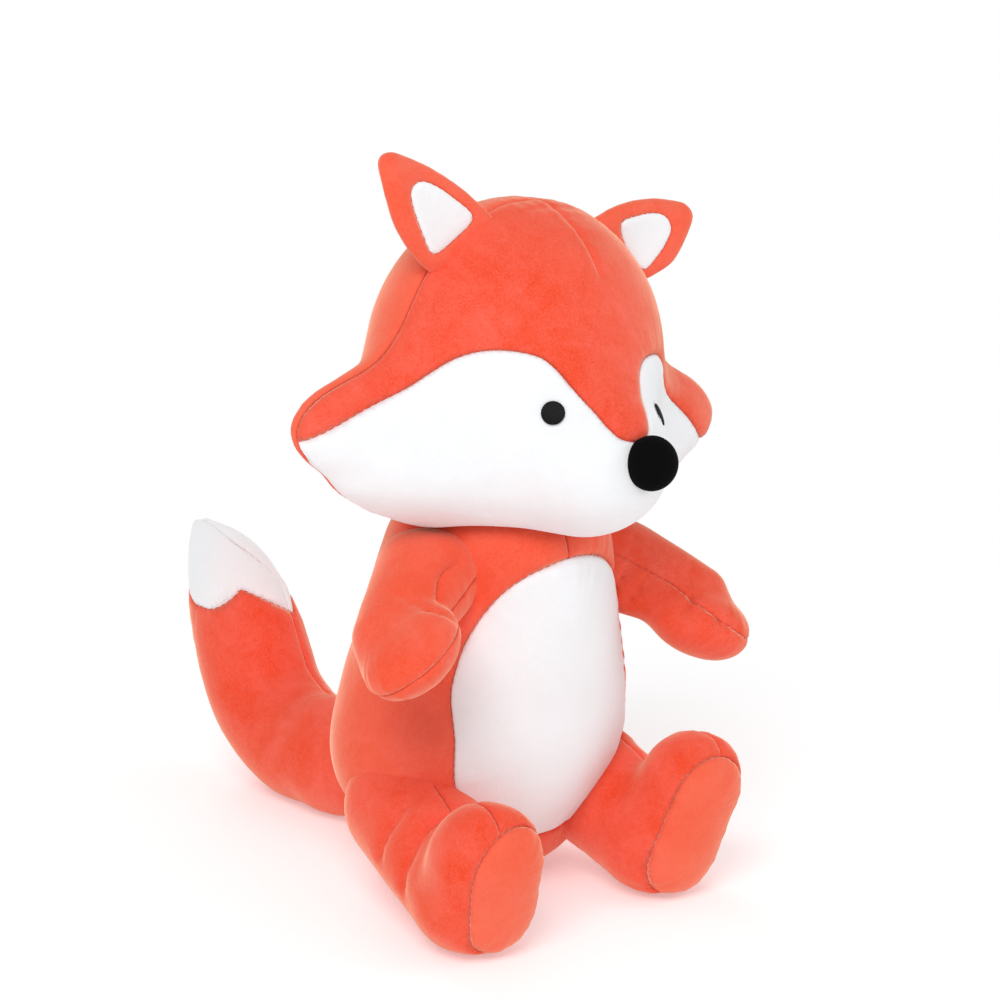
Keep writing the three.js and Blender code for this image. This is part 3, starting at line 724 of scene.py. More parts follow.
@once
def orange_plush():
    rgb = settings().cloth.orange
    # The pale colour is painted sheen, a paler orange for the panels given a "nap" value
    return plush("orange dyed plush", tinted(rgb, "#FFFFFF", 0.07), tinted(rgb, "#C42700", 0.18),
                 tinted(rgb, "#FFBC9C", 0.24), 1.0, "#FFD1B5")


@once
def white_plush():
    rgb = settings().cloth.white
    return plush("undyed white plush", rgb, tinted(rgb, "#CBCBCE", 0.06), rgb, 0.5, "#FFFFFF")


@once
def black_plush():
    rgb = settings().cloth.black
    return plush("black dyed plush", rgb, rgb, rgb, 0.02, "#CBCBD3")


@once
def eye_thread():
    """Rayon embroidery thread: black with a soft gloss along each strand."""
    material, tree = material_tree("black rayon thread")
    finish_material(tree, add(tree, "ShaderNodeBsdfPrincipled", {
        "Base Color": opaque(settings().cloth.thread_black), "Roughness": 0.55,
        "Specular IOR Level": 0.2}))
    return material


@once
def orange_thread():
    """Spun polyester sewing thread, matt and a shade deeper than the plush."""
    material, tree = material_tree("orange polyester thread")
    rgb = tinted(settings().cloth.orange, "#76271A", 0.3)
    finish_material(tree, add(tree, "ShaderNodeBsdfPrincipled", {
        "Base Color": opaque(rgb), "Roughness": 0.8}))
    return material


@once
def fibre_filling():
    """Crimped polyester fibre: loose, pale and matt."""
    material, tree = material_tree("polyester fibre")
    place = add(tree, "ShaderNodeTexCoord").outputs["Object"]
    wool = add(tree, "ShaderNodeTexNoise", {
        "Vector": place, "Scale": 1 / (2 * MM), "Detail": 4.0, "Roughness": 0.8, "Distortion": 2.0})
    bump = add(tree, "ShaderNodeBump", {
        "Height": wool.outputs["Fac"], "Strength": 0.6, "Distance": 1 * MM})
    finish_material(tree, add(tree, "ShaderNodeBsdfPrincipled", {
        "Base Color": opaque(settings().cloth.filling), "Roughness": 1.0,
        "Normal": bump.outputs["Normal"]}))
    return material


# Forms of the fox. Places and radii of their masses are shares of the form's own sizes

def frame_at(at, x=0.0, y=0.0, z=0.0):
    """A frame turned about Y, then X, then Z, and set down at a place."""
    turn = Matrix.Rotation(z, 4, "Z") @ Matrix.Rotation(x, 4, "X") @ Matrix.Rotation(y, 4, "Y")
    return Matrix.Translation(at) @ turn


def neck_centre():
    body = settings().body
    return Vector((0, -body.neck_forward, body.height - body.neck_depth))


def sided(group, side, *names):
    """The settings of one side: the first of each pair on the left, the second on the right."""
    return [getattr(group, name)[0 if side > 0 else 1] for name in names]


def head_place():
    head = settings().head
    return frame_at((0, 0, head.neck_height), y=head.roll)


def head_field():
    head = settings().head
    sizes = (head.width, head.depth, head.height)
    dome = round_mass(share_of([0, -0.099, 0.495], sizes), share_of([0.301, 0.39, 0.508], sizes))
    jaw = round_mass(share_of([0, -0.121, 0.159], sizes), share_of([0.352, 0.265, 0.159], sizes))
    cheek = round_mass(share_of([0.124, -0.124, 0.292], sizes), share_of([0.386, 0.12, 0.224], sizes))
    snout = tapered_mass(
        share_of([0, -0.277, 0.317], sizes), share_of([0, -0.483, 0.251], sizes),
        0.27 * head.height, 0.225 * head.height)
    whole = mirrored(blended(0.19 * head.height, dome, jaw, cheek, snout))

    def field(points):
        share = np.clip((points[:, 0] / head.width - 0.2) / 0.25, 0, 1)
        return whole(points - head.cheek_lift * np.outer(share * share * (3 - 2 * share), [0, 0, 1]))
    return field


PATCH = [[1.1, 0.36], [0.95, 0.463], [0.765, 0.635], [0.6, 0.775], [0.475, 0.94], [0.37, 1], [0.25, 0.99],
         [0.19, 0.93], [0.145, 0.83], [0.112, 0.745], [0.09, 0.67], [0.055, 0.615], [0, 0.6]]

# Creases of the head, in millimetres: the dart on the crown, the dart under the chin,
# the soft fold beside the muzzle and the tucks at the tips of the cheeks
DART = [[-5, -14, 126], [-1.6, -22, 125.5], [-0.5, -33, 121], [0.8, -42, 115], [1.8, -49, 107],
        [2.8, -54, 101]]
CHIN = [[-41, -51, 20], [-39, -49, 14.7], [-36, -47, 9]]
MUZZLE = [[-27.6, -71, 40], [-27.3, -73, 31], [-25, -73, 22], [-21, -71, 13], [-14, -65, 5]]
TUCK = [[96, -24, 45], [88, -26, 48], [78, -28, 53]]


def head_form():
    head = settings().head
    sizes = (head.width, head.depth, head.height)
    centre = head_place().inverted() @ neck_centre()
    whole, ball = head_field(), round_mass(centre, [settings().body.neck_radius + NECK_GAP] * 3)
    field = lambda points: -soft_min(-whole(points), ball(points), PRESS_ROUNDING)
    spine = straight_spine(
        share_of([0, -0.14, 0.35], sizes), share_of([0, -0.14, 0.6], sizes), (0, 0, 1))
    form = Form(field, spine, head.fineness, 0.7 * head.width, head_place())
    form.split("skin", lambda points: points[:, 1] + head.seam_forward - 0.17 * np.clip(
        0.3 * head.height - points[:, 2], 0, 0.3 * head.height), "head_back", "head_front")
    form.split("head_back", plane_line(0), "head_back_left", "head_back_right")
    half = np.array(PATCH) * [head.width / 2, head.patch_height]
    left = smooth_line(half, 6)
    across = np.concatenate([left, left[-2::-1] * [-1, 1]]) + [head.patch_shift, 0]
    edge = np.concatenate([across, [[-head.width, -head.height], [head.width, -head.height]]])
    form.split("head_front", lambda points: outline_distance(points[:, [0, 2]], edge),
               "forehead_panel", "face_patch")
    form.crease(DART, 0.9, sewn=True)
    form.crease(CHIN, 0.5, 1.4)
    form.crease(MUZZLE, 0.35, 2.6)
    for side, lift in ((-1, 0), (1, head.cheek_lift / MM)):
        form.crease(np.array(TUCK) * [side, 1, 1] + [0, 0, lift], 0.5, 0.8)
    return form


BELLY = [[0, 1], [0.2, 0.965], [0.33, 0.89], [0.42, 0.75], [0.46, 0.6], [0.48, 0.44], [0.5, 0.28],
         [0.45, 0.17], [0.31, 0.07], [0.14, 0.01], [0, 0]]


def body_form():
    body = settings().body
    sizes = (body.width, body.depth, body.height)
    seat_radii = share_of([0.42, 0.34, 0.14], sizes)
    seat = round_mass([0, 0.06 * body.depth, seat_radii[2] - body.rest_flat], seat_radii)
    hips = round_mass(share_of([-0.022, 0.03, 0.377], sizes), share_of([0.487, 0.48, 0.3], sizes))
    chest = tapered_mass(
        share_of([0.056, 0.045, 0.5], sizes), share_of([0.01, -0.095, 0.925], sizes),
        0.476 * body.width, 0.368 * body.width)
    whole = blended(0.075 * body.height, seat, hips, chest)
    ball = round_mass(neck_centre(), [body.neck_radius] * 3)
    top = lambda points: ball(points) - 0.3 * np.maximum(0.8 * body.height - points[:, 2], 0)

    def field(points):
        near = -soft_min(-whole(points), points[:, 2], GROUND_ROUNDING)
        above = -soft_min(-near, -top(points), 0.05 * body.width)
        return np.where(points[:, 2] > neck_centre().z, above, near)
    spine = straight_spine(share_of([0, 0, 0.3], sizes), share_of([0, 0, 0.8], sizes), (0, 0, 1))
    form = Form(field, spine, body.fineness, body.width, Matrix.Identity(4))
    half = np.array(BELLY) * [body.belly_width, body.belly_top - body.belly_bottom]
    half += [0, body.belly_bottom]
    edge = smooth_line(np.concatenate([half, half[-2:0:-1] * [-1, 1]]), 4, closed=True)
    edge += [body.belly_shift, 0]

    def belly(points):
        return np.where(points[:, 1] < 0, outline_distance(points[:, [0, 2]], edge), 0.1)

    def seat_line(points):
        tongue = np.maximum(np.abs(points[:, 0]) - body.tongue_width / 2, points[:, 2] - body.tongue_height)
        below = points[:, 2] - body.seat_seam
        return np.where(points[:, 1] < 0, np.minimum(below, tongue), below)
    form.split("skin", belly, "around", "belly_patch")
    form.split("around", seat_line, "body_sides", "seat_panel")
    form.split("body_sides", plane_line(0), "body_left_side", "body_right_side")
    return form


def arm_place(side):
    arms = settings().arms
    splay, droop, twist = sided(arms, side, "splay", "droop", "twist")
    at = (side * arms.spacing / 2, -arms.forward, arms.height - side * arms.drop)
    return frame_at(at, droop, side * twist, side * splay)


# Creases of the arms, in millimetres: the wrist's notch and fold, folds of the sleeve
# and a dimple where the tip of the left paw is caught
WRIST = [[24, -39.5, -5], [22.5, -40.5, 0], [19, -40, 3]]
WRIST_FOLD = [[22, -40, 1], [15, -38.7, 6], [8, -36, 9]]
SLEEVE_FOLDS = {
    "right": [[[17, -27, -1], [17.3, -19.6, 2.8], [18.2, -12.4, 3.3], [19.4, -5.2, 1]]],
    "left": [[[-16, -12, -9], [-17.5, -12.5, -5], [-18.2, -13.3, 2]],
             [[-13, -20, -11], [-15.5, -21, -6], [-17, -22.2, 2]]]}
DIMPLE = [[-24.7, -52.6, -1], [-24.9, -55.5, -3]]


def arm_form(name, side):
    arms = settings().arms
    press, seam, sag = sided(arms, side, "press", "seam", "sag")
    place = arm_place(side)
    up = place.to_3x3().transposed() @ Vector((0, 0, 1))
    sleeve = tapered_mass([0, 0, 0], [0, -0.63 * arms.length, 0], arms.root / 2, arms.wrist / 2)
    paw = round_mass(
        [-0.26 * arms.wrist, -0.685 * arms.length, -0.24 * arms.wrist],
        [0.71 * arms.wrist, 0.315 * arms.length, 0.5 * arms.wrist])
    whole = handed(blended(0.16 * arms.wrist, sleeve, paw), side)
    field = pressed(whole, up * (arms.root / 2 - press), up, PRESS_ROUNDING)
    spine = straight_spine([0, 0, 0], [0, -0.7 * arms.length, 0], (0, -1, 0))
    form = Form(field, spine, arms.fineness, arms.length, place)
    form.split("skin", lambda points: points[:, 2] - seam + sag * (points[:, 1] / arms.length) ** 2,
               f"arm_{name}_outer", f"arm_{name}_inner", 0.6)
    form.crease(np.array(WRIST) * [-side, 1, 1], 2.6, 1.5)
    form.crease(np.array(WRIST_FOLD) * [-side, 1, 1], 0.8, 1.3)
    for fold in SLEEVE_FOLDS[name]:
        form.crease(fold, 2, 1.1)
    if name == "left":
        form.crease(DIMPLE, 2, 1.2)
    return form


def leg_place(side):
    legs = settings().legs
    splay, roll = sided(legs, side, "splay", "roll")
    at = (side * legs.spacing / 2, -legs.forward, legs.height)
    return frame_at(at, 0, side * roll, side * splay)


# Folds of the legs, in millimetres: the thigh's cloth gathers behind the foot
LEG_FOLDS = [[[-3, -41.5, 8], [-11.4, -41.7, 4.8], [-17.9, -43.3, -2.6], [-21.8, -41.5, -15.7]],
             [[-14, -27.5, 10], [-19, -27, 3], [-23.2, -23.5, -8.2]]]


def leg_form(name, side):
    legs = settings().legs
    height, border, turn = sided(legs, side, "foot", "border", "turn")
    heel = -(legs.height + settings().body.rest_flat - legs.ankle / 2)
    facing = [0, -math.cos(legs.sole_lean), -math.sin(legs.sole_lean)]
    thigh = tapered_mass([0, 0, 0], [0, -0.56 * legs.length, heel], legs.root / 2, legs.ankle / 2)
    foot = tapered_mass(
        [0, -0.66 * legs.length, heel], [0, -0.76 * legs.length, heel + 0.33 * height],
        legs.ankle / 2, legs.toe / 2)
    whole = blended(0.1 * height, thigh, foot)
    flat = pressed(whole, [0, -0.9 * legs.length - 3 * MM, heel], facing, 0.25 * height)
    place = leg_place(side)
    down = place.to_3x3().transposed() @ Vector((0, 0, -1))
    ground = place.inverted() @ Vector((place.translation.x, place.translation.y, 0))
    field = pressed(flat, ground, down, GROUND_ROUNDING)
    spine = straight_spine([0, 0, 0], [0, -0.7 * legs.length, 0], (0, -1, 0))
    form = Form(field, spine, legs.fineness, 1.1 * legs.length, place)
    at = np.array([0, -0.9 * legs.length + border, 0])
    back = np.array([side * math.tan(turn), math.cos(legs.seam_lean), math.sin(legs.seam_lean)])
    form.split("skin", lambda points: (points - at) @ back, "upper", f"leg_{name}_sole")
    halves = [f"leg_{name}_outer", f"leg_{name}_inner"]
    form.split("upper", plane_line(0), *halves[::side])
    for fold in LEG_FOLDS:
        form.crease(np.array(fold) * [-side, 1, 1], 2.2, 1.8)
    return form


TAIL = [[0, 0], [0.25, 0], [0.36, 0], [0.51, 0.01], [0.67, 0.18], [0.77, 0.52], [0.87, 0.81], [1, 1]]
TAIL_RADII = [0.47, 0.486, 0.5, 0.5, 0.49, 0.36, 0.13]
# How far aside the tail's seam runs at each height, in millimetres
TAIL_SEAM = [[-30, 0], [20, 11], [50, 11], [60, 13], [75, 7], [82, 0]]
TIP = [[-1, 0.97], [-0.56, 0.97], [-0.44, 0.84], [-0.2, 1], [0.26, 0.78], [0.5, 0.97], [1, 0.97]]


def tail_form():
    tail = settings().tail
    low = 0.486 * tail.thickness - settings().body.rest_flat - tail.root_height
    points = [[0, back * tail.reach, low + rise * (tail.rise - low) if place else 0]
              for place, (back, rise) in enumerate(TAIL)]
    points = smooth_line(points, 8)
    sizes = [tail.root_radius, *[share * tail.thickness for share in TAIL_RADII]]
    radii = smooth_line([[place, radius] for place, radius in enumerate(sizes)], 8)[:, 1]
    place = Matrix.Translation((0, tail.root_back, tail.root_height))
    field = pressed(chained_mass(points, radii), [0, 0, -tail.root_height], [0, 0, -1],
                    GROUND_ROUNDING)
    form = Form(field, curved_spine(points, 0.04), tail.fineness, tail.thickness, place)
    edge = np.array(TIP) * [tail.thickness, tail.tip_height]
    edge = np.array([*edge, [tail.thickness, 2 * tail.rise], [-tail.thickness, 2 * tail.rise]])
    form.split("skin", lambda points: outline_distance(points[:, [0, 2]], edge), "base", "tip", 0.6)

    def seam(points):
        aside = np.interp(points[:, 2], *(np.array(TAIL_SEAM) * MM).T)
        return points[:, 0] - aside * np.clip((0.8 * tail.reach - points[:, 1]) / (12 * MM), -1, 1)
    form.split("base", seam, "tail_left", "tail_right")
    form.split("tip", seam, "tail_tip_left", "tail_tip_right")
    return form


EAR = [[-0.5, -0.25], [-0.49, 0], [-0.36, 0.33], [-0.15, 0.67], [0.08, 0.92], [0.18, 0.99], [0.29, 1],
       [0.38, 0.93], [0.46, 0.72], [0.52, 0.45], [0.48, 0.16], [0.37, -0.1], [0.2, -0.32], [0, -0.36]]
EAR_INSET = [[-0.29, 0.08], [-0.19, 0.34], [-0.06, 0.54], [0.07, 0.64], [0.2, 0.63], [0.27, 0.52],
             [0.32, 0.28], [0.31, 0.06], [0, 0.02]]


def ear_form(name, side):
    ears = settings().ears
    height, lean = sided(ears, side, "height", "lean")
    scale = [side * ears.width, height]
    edge = smooth_line(np.array(EAR) * scale, 4, closed=True)
    inset = smooth_line(np.array(EAR_INSET) * scale, 4, closed=True)
    rounding = 0.2 * ears.width

    def field(points):
        bowed = points[:, 1] + 0.1 * ears.width * (points[:, 0] / ears.width) ** 2 * 4
        rim = np.maximum(outline_distance(points[:, [0, 2]], edge) + rounding, 0) / rounding
        return (np.hypot(rim, bowed / (ears.thickness / 2)) - 1) * ears.thickness / 2
    spine = straight_spine([0, 0, -0.1 * height], [side * 0.12 * ears.width, 0, 0.7 * height], (0, 0, 1))
    at = (side * ears.spacing / 2, -settings().head.seam_forward, ears.rise)
    form = Form(field, spine, ears.fineness, 1.2 * height, head_place() @ frame_at(at, y=side * lean))
    form.split("skin", plane_line(1), f"ear_{name}_back", "front", 0.6, 0.3)
    form.split("front", lambda points: outline_distance(points[:, [0, 2]], inset),
               f"ear_{name}_front", f"ear_{name}_inner", 0.6, 0.15)
    return form


# Seam stitches

# How far apart stitches begin, as a share of a stitch's length
STITCH_PITCH = 1.25


def stitch_tree():
    """Lays short threads along the edges of a mesh, end to end."""
    tree = bpy.data.node_groups.new("Seam stitches", "GeometryNodeTree")
    for name, kind in (("Seam", "Geometry"), ("Pitch", "Float"), ("Length", "Float"),
                       ("Thickness", "Float"), ("Seed", "Int"), ("Thread", "Material")):
        tree.interface.new_socket(name, in_out="INPUT", socket_type=f"NodeSocket{kind}")
    tree.interface.new_socket("Stitches", in_out="OUTPUT", socket_type="NodeSocketGeometry")
    given = add(tree, "NodeGroupInput").outputs
    curve = add(tree, "GeometryNodeMeshToCurve", {"Mesh": given["Seam"]})
    spaced = add(tree, "GeometryNodeResampleCurve", {
        "Curve": curve.outputs[0], "Length": given["Pitch"]}, mode="LENGTH")
    along = add(tree, "GeometryNodeInputTangent")
    turn = add(tree, "FunctionNodeAlignRotationToVector", {"Vector": along.outputs[0]}, axis="Z")
    slack = add(tree, "FunctionNodeRandomValue", {2: 0.8, 3: 1.0, "Seed": given["Seed"]})
    reach = add(tree, "ShaderNodeMath", {
        0: given["Length"], 1: slack.outputs[1]}, operation="MULTIPLY")
    size = add(tree, "ShaderNodeCombineXYZ", {
        "X": given["Thickness"], "Y": given["Thickness"], "Z": reach.outputs[0]})
    stitch = add(tree, "GeometryNodeMeshUVSphere", {"Segments": 6, "Rings": 5, "Radius": 0.5})
    laid = add(tree, "GeometryNodeInstanceOnPoints", {
        "Points": spaced.outputs[0], "Instance": stitch.outputs[0], "Rotation": turn.outputs[0],
        "Scale": size.outputs[0]})
    solid = add(tree, "GeometryNodeRealizeInstances", {"Geometry": laid.outputs[0]})
    threaded = add(tree, "GeometryNodeSetMaterial", {
        "Geometry": solid.outputs[0], "Material": given["Thread"]})
    add(tree, "NodeGroupOutput", {"Stitches": threaded.outputs[0]})
    return tree


def sew_seams(form, name, body):
    """The visible stitches of a form's seams, as one piece."""
    cloth = settings().cloth
    pieces = np.concatenate(form.sewn)
    points, places = np.unique(np.round(pieces.reshape(-1, 3), 7), axis=0, return_inverse=True)
    mesh = bpy.data.meshes.new(f"{name}_stitches")
    mesh.from_pydata(form.placed(form.drawn_in(points)).tolist(), places.reshape(-1, 2).tolist(), [])
    seam = bpy.data.objects.new(mesh.name, mesh)
    bpy.context.scene.collection.objects.link(seam)
    tree = bpy.data.node_groups.get("Seam stitches") or stitch_tree()
    modifier = seam.modifiers.new("Stitches", "NODES")
    modifier.node_group = tree
    given = {"Pitch": STITCH_PITCH * cloth.stitch, "Length": cloth.stitch, "Thickness": cloth.thread,
             "Seed": 3, "Thread": orange_thread()}
    for socket in tree.interface.items_tree:
        if socket.in_out == "INPUT" and socket.name in given:
            modifier[socket.identifier] = given[socket.name]
    seam.update_tag()
    evaluated = seam.evaluated_get(bpy.context.evaluated_depsgraph_get())
    seam.modifiers.clear()
    seam.data = bpy.data.meshes.new_from_object(evaluated)
    seam.data.polygons.foreach_set("use_smooth", [True] * len(seam.data.polygons))
    return belong(seam, body, "orange_plush")


# Operators: each makes one piece or one group of like pieces

class FOX_OT_head(bpy.types.Operator):
    """Sew and fill the head"""
    bl_idname = "fox.head"
    bl_label = "Head"

    def execute(self, context):
        stuff(head_form(), "head", "head", ["head_back_left", "head_back_right", "forehead_panel"],
              ["face_patch"])
        return {"FINISHED"}


class FOX_OT_face(bpy.types.Operator):
    """Embroider the eyes and sew on the nose"""
    bl_idname = "fox.face"
    bl_label = "Eyes and nose"

    def execute(self, context):
        face = settings().face
        place, field = head_place(), head_field()
        for name, side in SIDES:
            embroider_eye(name, side, field, place)
        at = [face.nose_shift, -face.nose_forward, face.nose_rise]
        mass = round_mass(at, [face.nose_width / 2, face.nose_depth / 2, face.nose_height / 2])
        form = Form(mass, straight_spine(at, at, (0, 0, 1)), face.fineness, face.nose_width, place)
        form.panels["nose_pad"] = form.panels.pop("skin")
        sew_panel(form, "nose_pad", "head", "black_plush", black_plush(), "nose")
        return {"FINISHED"}


# The eyes' threads: how far they lie apart as a share of their thickness, how high the round's
# middle stands, how much higher every other one lies and how deep they sink into the cloth
EYE_PITCH, EYE_CROWN, EYE_STEP, EYE_SINK = 0.62, 1.1 * MM, 0.1 * MM, 0.15 * MM


def embroider_eye(name, side, field, place):
    """Satin stitch: parallel threads side by side over a small round."""
    face, thread = settings().face, settings().cloth.thread
    above = np.array([[side * face.eye_spacing / 2 + face.eye_shift, 0, face.eye_height]])
    forward = np.array([[0.0, -1, 0]])
    middle = above + forward * cast_out(field, above, forward, settings().head.depth)[:, None]
    facing = outward(field, middle)
    across = np.cross(facing, [[0, 0, 1.0]])
    across /= np.linalg.norm(across)
    upright = np.cross(across, facing)
    radius = face.eye / 2
    depth = 12 * MM
    strands = []
    total = int(round(face.eye / (EYE_PITCH * thread)))
    for strand in range(total):
        aside = radius * (2 * (strand + 0.5) / total - 1)
        along = np.sin(np.linspace(-math.pi / 2, math.pi / 2, 11)) * math.sqrt(radius ** 2 - aside ** 2)
        starts = middle + aside * across + along[:, None] * upright - depth * facing
        reach = cast_out(field, starts, np.repeat(facing, len(along), axis=0), 2 * depth)
        lift = np.sqrt(np.maximum(1 - (aside ** 2 + along ** 2) / (1.08 * radius) ** 2, 0))
        reach += EYE_CROWN * lift + EYE_STEP * (strand % 2) - EYE_SINK
        strands.append(tube(starts + facing * reach[:, None], thread / 2))
    points, triangles = joined(strands)
    eye = mesh_object(f"eye_{name}_thread", set_down(points, place), triangles, eye_thread())
    belong(eye, "head", "black_thread", f"eye_{name}")


def tube(line, radius, sides=6):
    """A closed thread along a line."""
    runs = np.gradient(line, axis=0)
    runs /= np.linalg.norm(runs, axis=1, keepdims=True)
    first = np.cross(runs, [1.0, 0, 0])
    first /= np.linalg.norm(first, axis=1, keepdims=True)
    second = np.cross(runs, first)
    turns = np.arange(sides) * 2 * math.pi / sides
    rings = (line[:, None] + radius * (
        first[:, None] * np.cos(turns)[:, None] + second[:, None] * np.sin(turns)[:, None]))
    points = np.concatenate([rings.reshape(-1, 3), line[:1], line[-1:]])
    triangles = []
    last = (len(line) - 1) * sides
    for turn in range(sides):
        following = (turn + 1) % sides
        for start in range(0, last, sides):
            a, b = start + turn, start + following
            triangles += [[a, b, b + sides], [a, b + sides, a + sides]]
        triangles += [[len(points) - 2, following, turn], [len(points) - 1, last + turn, last + following]]
    return points, np.array(triangles)


def joined(parts):
    """Several meshes as one."""
    starts = np.cumsum([0] + [len(points) for points, triangles in parts[:-1]])
    return (np.concatenate([points for points, triangles in parts]),
            np.concatenate([triangles + start for (points, triangles), start in zip(parts, starts)]))


class FOX_OT_ears(bpy.types.Operator):
    """Sew and fill both ears"""
    bl_idname = "fox.ears"
    bl_label = "Ears"

    def execute(self, context):
        for name, side in SIDES:
            ear = f"ear_{name}"
            stuff(ear_form(name, side), ear, "head", [f"{ear}_back", f"{ear}_front"],
                  [f"{ear}_inner"])
        return {"FINISHED"}


class FOX_OT_body(bpy.types.Operator):
    """Sew and fill the body, and pad the neck"""
    bl_idname = "fox.body"
    bl_label = "Body"

    def execute(self, context):
        stuff(body_form(), "body", "torso", ["body_left_side", "body_right_side", "seat_panel"],
              ["belly_patch"])
        pad_neck()
        return {"FINISHED"}


def pad_neck():
    """The pad of fibre that turns between body and head."""
    centre, radius, half = np.array(neck_centre()), settings().body.neck_radius, PAD_THICKNESS / 2

    def field(points):
        offset = points - centre
        reach = np.linalg.norm(offset, axis=1)
        aside = np.hypot(offset[:, 0], offset[:, 1]) - PAD_RADIUS
        return np.maximum(np.abs(reach - radius + half) - half, aside)
    at = centre + [0, 0, radius - half]
    points, triangles = skin(field, straight_spine(at, at, (0, 0, 1)), 12, PAD_LIMIT)
    pad = mesh_object("neck_fibre", points, triangles, fibre_filling())
    belong(pad, "neck", "filling", "neck_stuffing")


def make_limbs(kind, shape, parts):
    for name, side in SIDES:
        form, body = shape(name, side), f"{kind}_{name}"
        made = stuff(form, body, body, [f"{body}_{part}" for part in parts])
        bend_at_root(made)


class FOX_OT_arms(bpy.types.Operator):
    """Sew and fill both arms"""
    bl_idname = "fox.arms"
    bl_label = "Arms"

    def execute(self, context):
        make_limbs("arm", arm_form, ("outer", "inner"))
        return {"FINISHED"}


class FOX_OT_legs(bpy.types.Operator):
    """Sew and fill both legs"""
    bl_idname = "fox.legs"
    bl_label = "Legs"

    def execute(self, context):
        make_limbs("leg", leg_form, ("outer", "inner", "sole"))
        return {"FINISHED"}


class FOX_OT_tail(bpy.types.Operator):
    """Sew and fill the tail"""
    bl_idname = "fox.tail"
    bl_label = "Tail"

    def execute(self, context):
        form = tail_form()
        made = stuff(form, "tail", "tail", ["tail_left", "tail_right"],
                     ["tail_tip_left", "tail_tip_right"])
        bend_at_root(made)
        return {"FINISHED"}


# Stage

# The camera's place and what it looks at, in metres, and its lens and sensor, in millimetres
CAMERA_AT = (-0.641507, -0.776855, 0.387699)
LOOKED_AT = Vector((0.0061006, -0.0050666, 0.1551))
LENS, SENSOR = 93.995, 36
# Each soft light: its name, place in metres, width in metres and power in watts
LIGHTS = (("Key light", (-0.9, -0.7, 1.15), 0.8, 11),
          ("Fill light", (0.9, -0.8, 0.6), 0.9, 2.8),
          ("Rim light", (0.3, 1.1, 0.9), 0.8, 4))
# How strongly the white surroundings light the fox
WORLD_LIGHT = 0.51
# The floor's glow, the radii in metres between which it fades into the backdrop, and half its width
FLOOR_GLOW, FADE_FROM, FADE_TO, FLOOR_HALF = 0.33, 0.16, 0.42, 4.0
WHITE = (1, 1, 1, 1)


def look_from(made, at):
    """Sets a camera or light down and turns it to the fox."""
    made.location = at
    made.rotation_euler = (LOOKED_AT - made.location).to_track_quat("-Z", "Y").to_euler()
    bpy.context.scene.collection.objects.link(made)
    return made


class FOX_OT_stage(bpy.types.Operator):
    """Set up the camera, the soft lights and the white floor"""
    bl_idname = "fox.stage"
    bl_label = "Stage"

    def execute(self, context):
        scene = context.scene
        scene.view_settings.view_transform = "Standard"
        lens = bpy.data.cameras.new("Camera")
        lens.lens, lens.sensor_width = LENS, SENSOR
        scene.camera = look_from(bpy.data.objects.new("Camera", lens), CAMERA_AT)
        for name, at, size, power in LIGHTS:
            lamp = bpy.data.lights.new(name, "AREA")
            lamp.shape, lamp.size, lamp.energy = "DISK", size, power
            look_from(bpy.data.objects.new(name, lamp), at)
        set_world()
        set_floor()
        return {"FINISHED"}


def set_world():
    """White behind the fox, and a softer white for the light it sheds."""
    world = bpy.data.worlds.new("White")
    world.use_nodes = True
    tree = world.node_tree
    tree.nodes.clear()
    path = add(tree, "ShaderNodeLightPath").outputs
    seen = add(tree, "ShaderNodeMath", {
        0: path["Is Camera Ray"], 1: path["Is Glossy Ray"]}, operation="MAXIMUM")
    light = add(tree, "ShaderNodeBackground", {"Color": WHITE, "Strength": WORLD_LIGHT})
    backdrop = add(tree, "ShaderNodeBackground", {"Color": WHITE, "Strength": 1.0})
    mix = add(tree, "ShaderNodeMixShader", {
        0: seen.outputs[0], 1: light.outputs[0], 2: backdrop.outputs[0]})
    add(tree, "ShaderNodeOutputWorld", {"Surface": mix.outputs[0]})
    bpy.context.scene.world = world


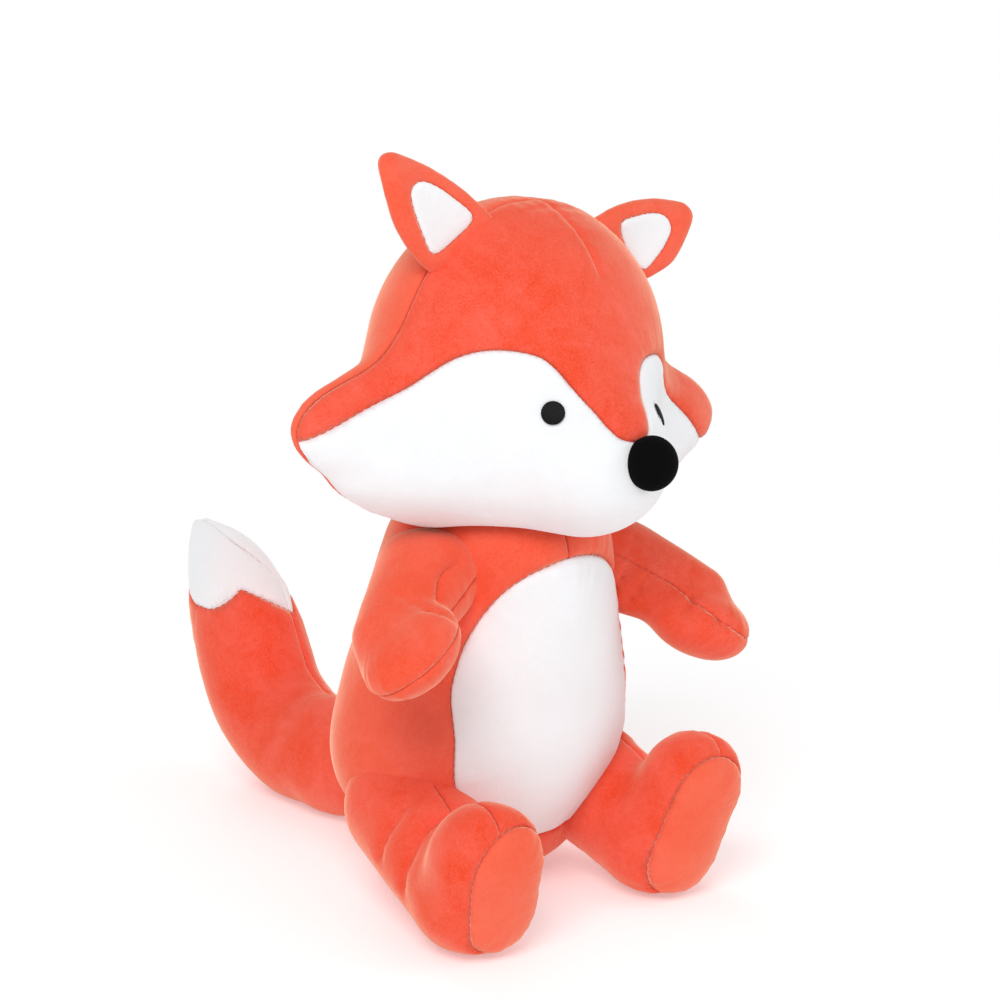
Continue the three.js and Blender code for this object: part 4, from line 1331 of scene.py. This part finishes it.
def set_floor():
    """A white floor that keeps the fox's soft shadow and runs out into the white backdrop."""
    material, tree = material_tree("white paper floor")
    paper = add(tree, "ShaderNodeBsdfDiffuse", {"Color": (0.8, 0.8, 0.8, 1)})
    glow = add(tree, "ShaderNodeEmission", {"Color": WHITE, "Strength": FLOOR_GLOW})
    near = add(tree, "ShaderNodeAddShader", {0: paper.outputs[0], 1: glow.outputs[0]})
    backdrop = add(tree, "ShaderNodeEmission", {"Color": WHITE, "Strength": 1.0})
    place = add(tree, "ShaderNodeTexCoord").outputs["Object"]
    away = add(tree, "ShaderNodeVectorMath", {0: place}, operation="LENGTH")
    far = add(tree, "ShaderNodeMapRange", {
        "Value": away.outputs["Value"], "From Min": FADE_FROM, "From Max": FADE_TO},
              interpolation_type="SMOOTHSTEP")
    shown = add(tree, "ShaderNodeMixShader", {
        0: far.outputs["Result"], 1: near.outputs[0], 2: backdrop.outputs[0]})
    seen = add(tree, "ShaderNodeLightPath").outputs["Is Camera Ray"]
    finish_material(tree, add(tree, "ShaderNodeMixShader", {
        0: seen, 1: near.outputs[0], 2: shown.outputs[0]}))
    corners = np.array([[-1, -1, 0], [1, -1, 0], [1, 1, 0], [-1, 1, 0]]) * FLOOR_HALF
    floor = mesh_object("Floor", corners, np.array([[0, 1, 2], [0, 2, 3]]), material)


class FOX_PT_panel(bpy.types.Panel):
    """Lists the fox's pieces"""
    bl_idname = "FOX_PT_panel"
    bl_label = "Plush Fox"
    bl_space_type = "VIEW_3D"
    bl_region_type = "UI"
    bl_category = "Plush Fox"

    def draw(self, context):
        for operator in OPERATORS:
            self.layout.operator(operator.bl_idname)
        for group in PlushFox.__annotations__:
            box = self.layout.box()
            box.label(text=group.capitalize())
            values = getattr(context.scene.plush_fox, group)
            for name in type(values).__annotations__:
                box.prop(values, name)


class PlushFox(bpy.types.PropertyGroup):
    head: bpy.props.PointerProperty(type=FoxHead)
    face: bpy.props.PointerProperty(type=FoxFace)
    ears: bpy.props.PointerProperty(type=FoxEars)
    body: bpy.props.PointerProperty(type=FoxBody)
    arms: bpy.props.PointerProperty(type=FoxArms)
    legs: bpy.props.PointerProperty(type=FoxLegs)
    tail: bpy.props.PointerProperty(type=FoxTail)
    cloth: bpy.props.PointerProperty(type=FoxCloth)


GROUPS = (FoxHead, FoxFace, FoxEars, FoxBody, FoxArms, FoxLegs, FoxTail, FoxCloth, PlushFox)
OPERATORS = (FOX_OT_head, FOX_OT_face, FOX_OT_ears, FOX_OT_body, FOX_OT_arms, FOX_OT_legs,
             FOX_OT_tail, FOX_OT_stage)
CLASSES = (*GROUPS, *OPERATORS, FOX_PT_panel)


def register():
    for kind in CLASSES:
        bpy.utils.register_class(kind)
    bpy.types.Scene.plush_fox = bpy.props.PointerProperty(type=PlushFox)


def unregister():
    del bpy.types.Scene.plush_fox
    for kind in reversed(CLASSES):
        bpy.utils.unregister_class(kind)


def main():
    register()
    for operator in OPERATORS:
        group, name = operator.bl_idname.split(".")
        getattr(getattr(bpy.ops, group), name)()
    bpy.context.view_layer.update()


if __name__ == "__main__":
    main()
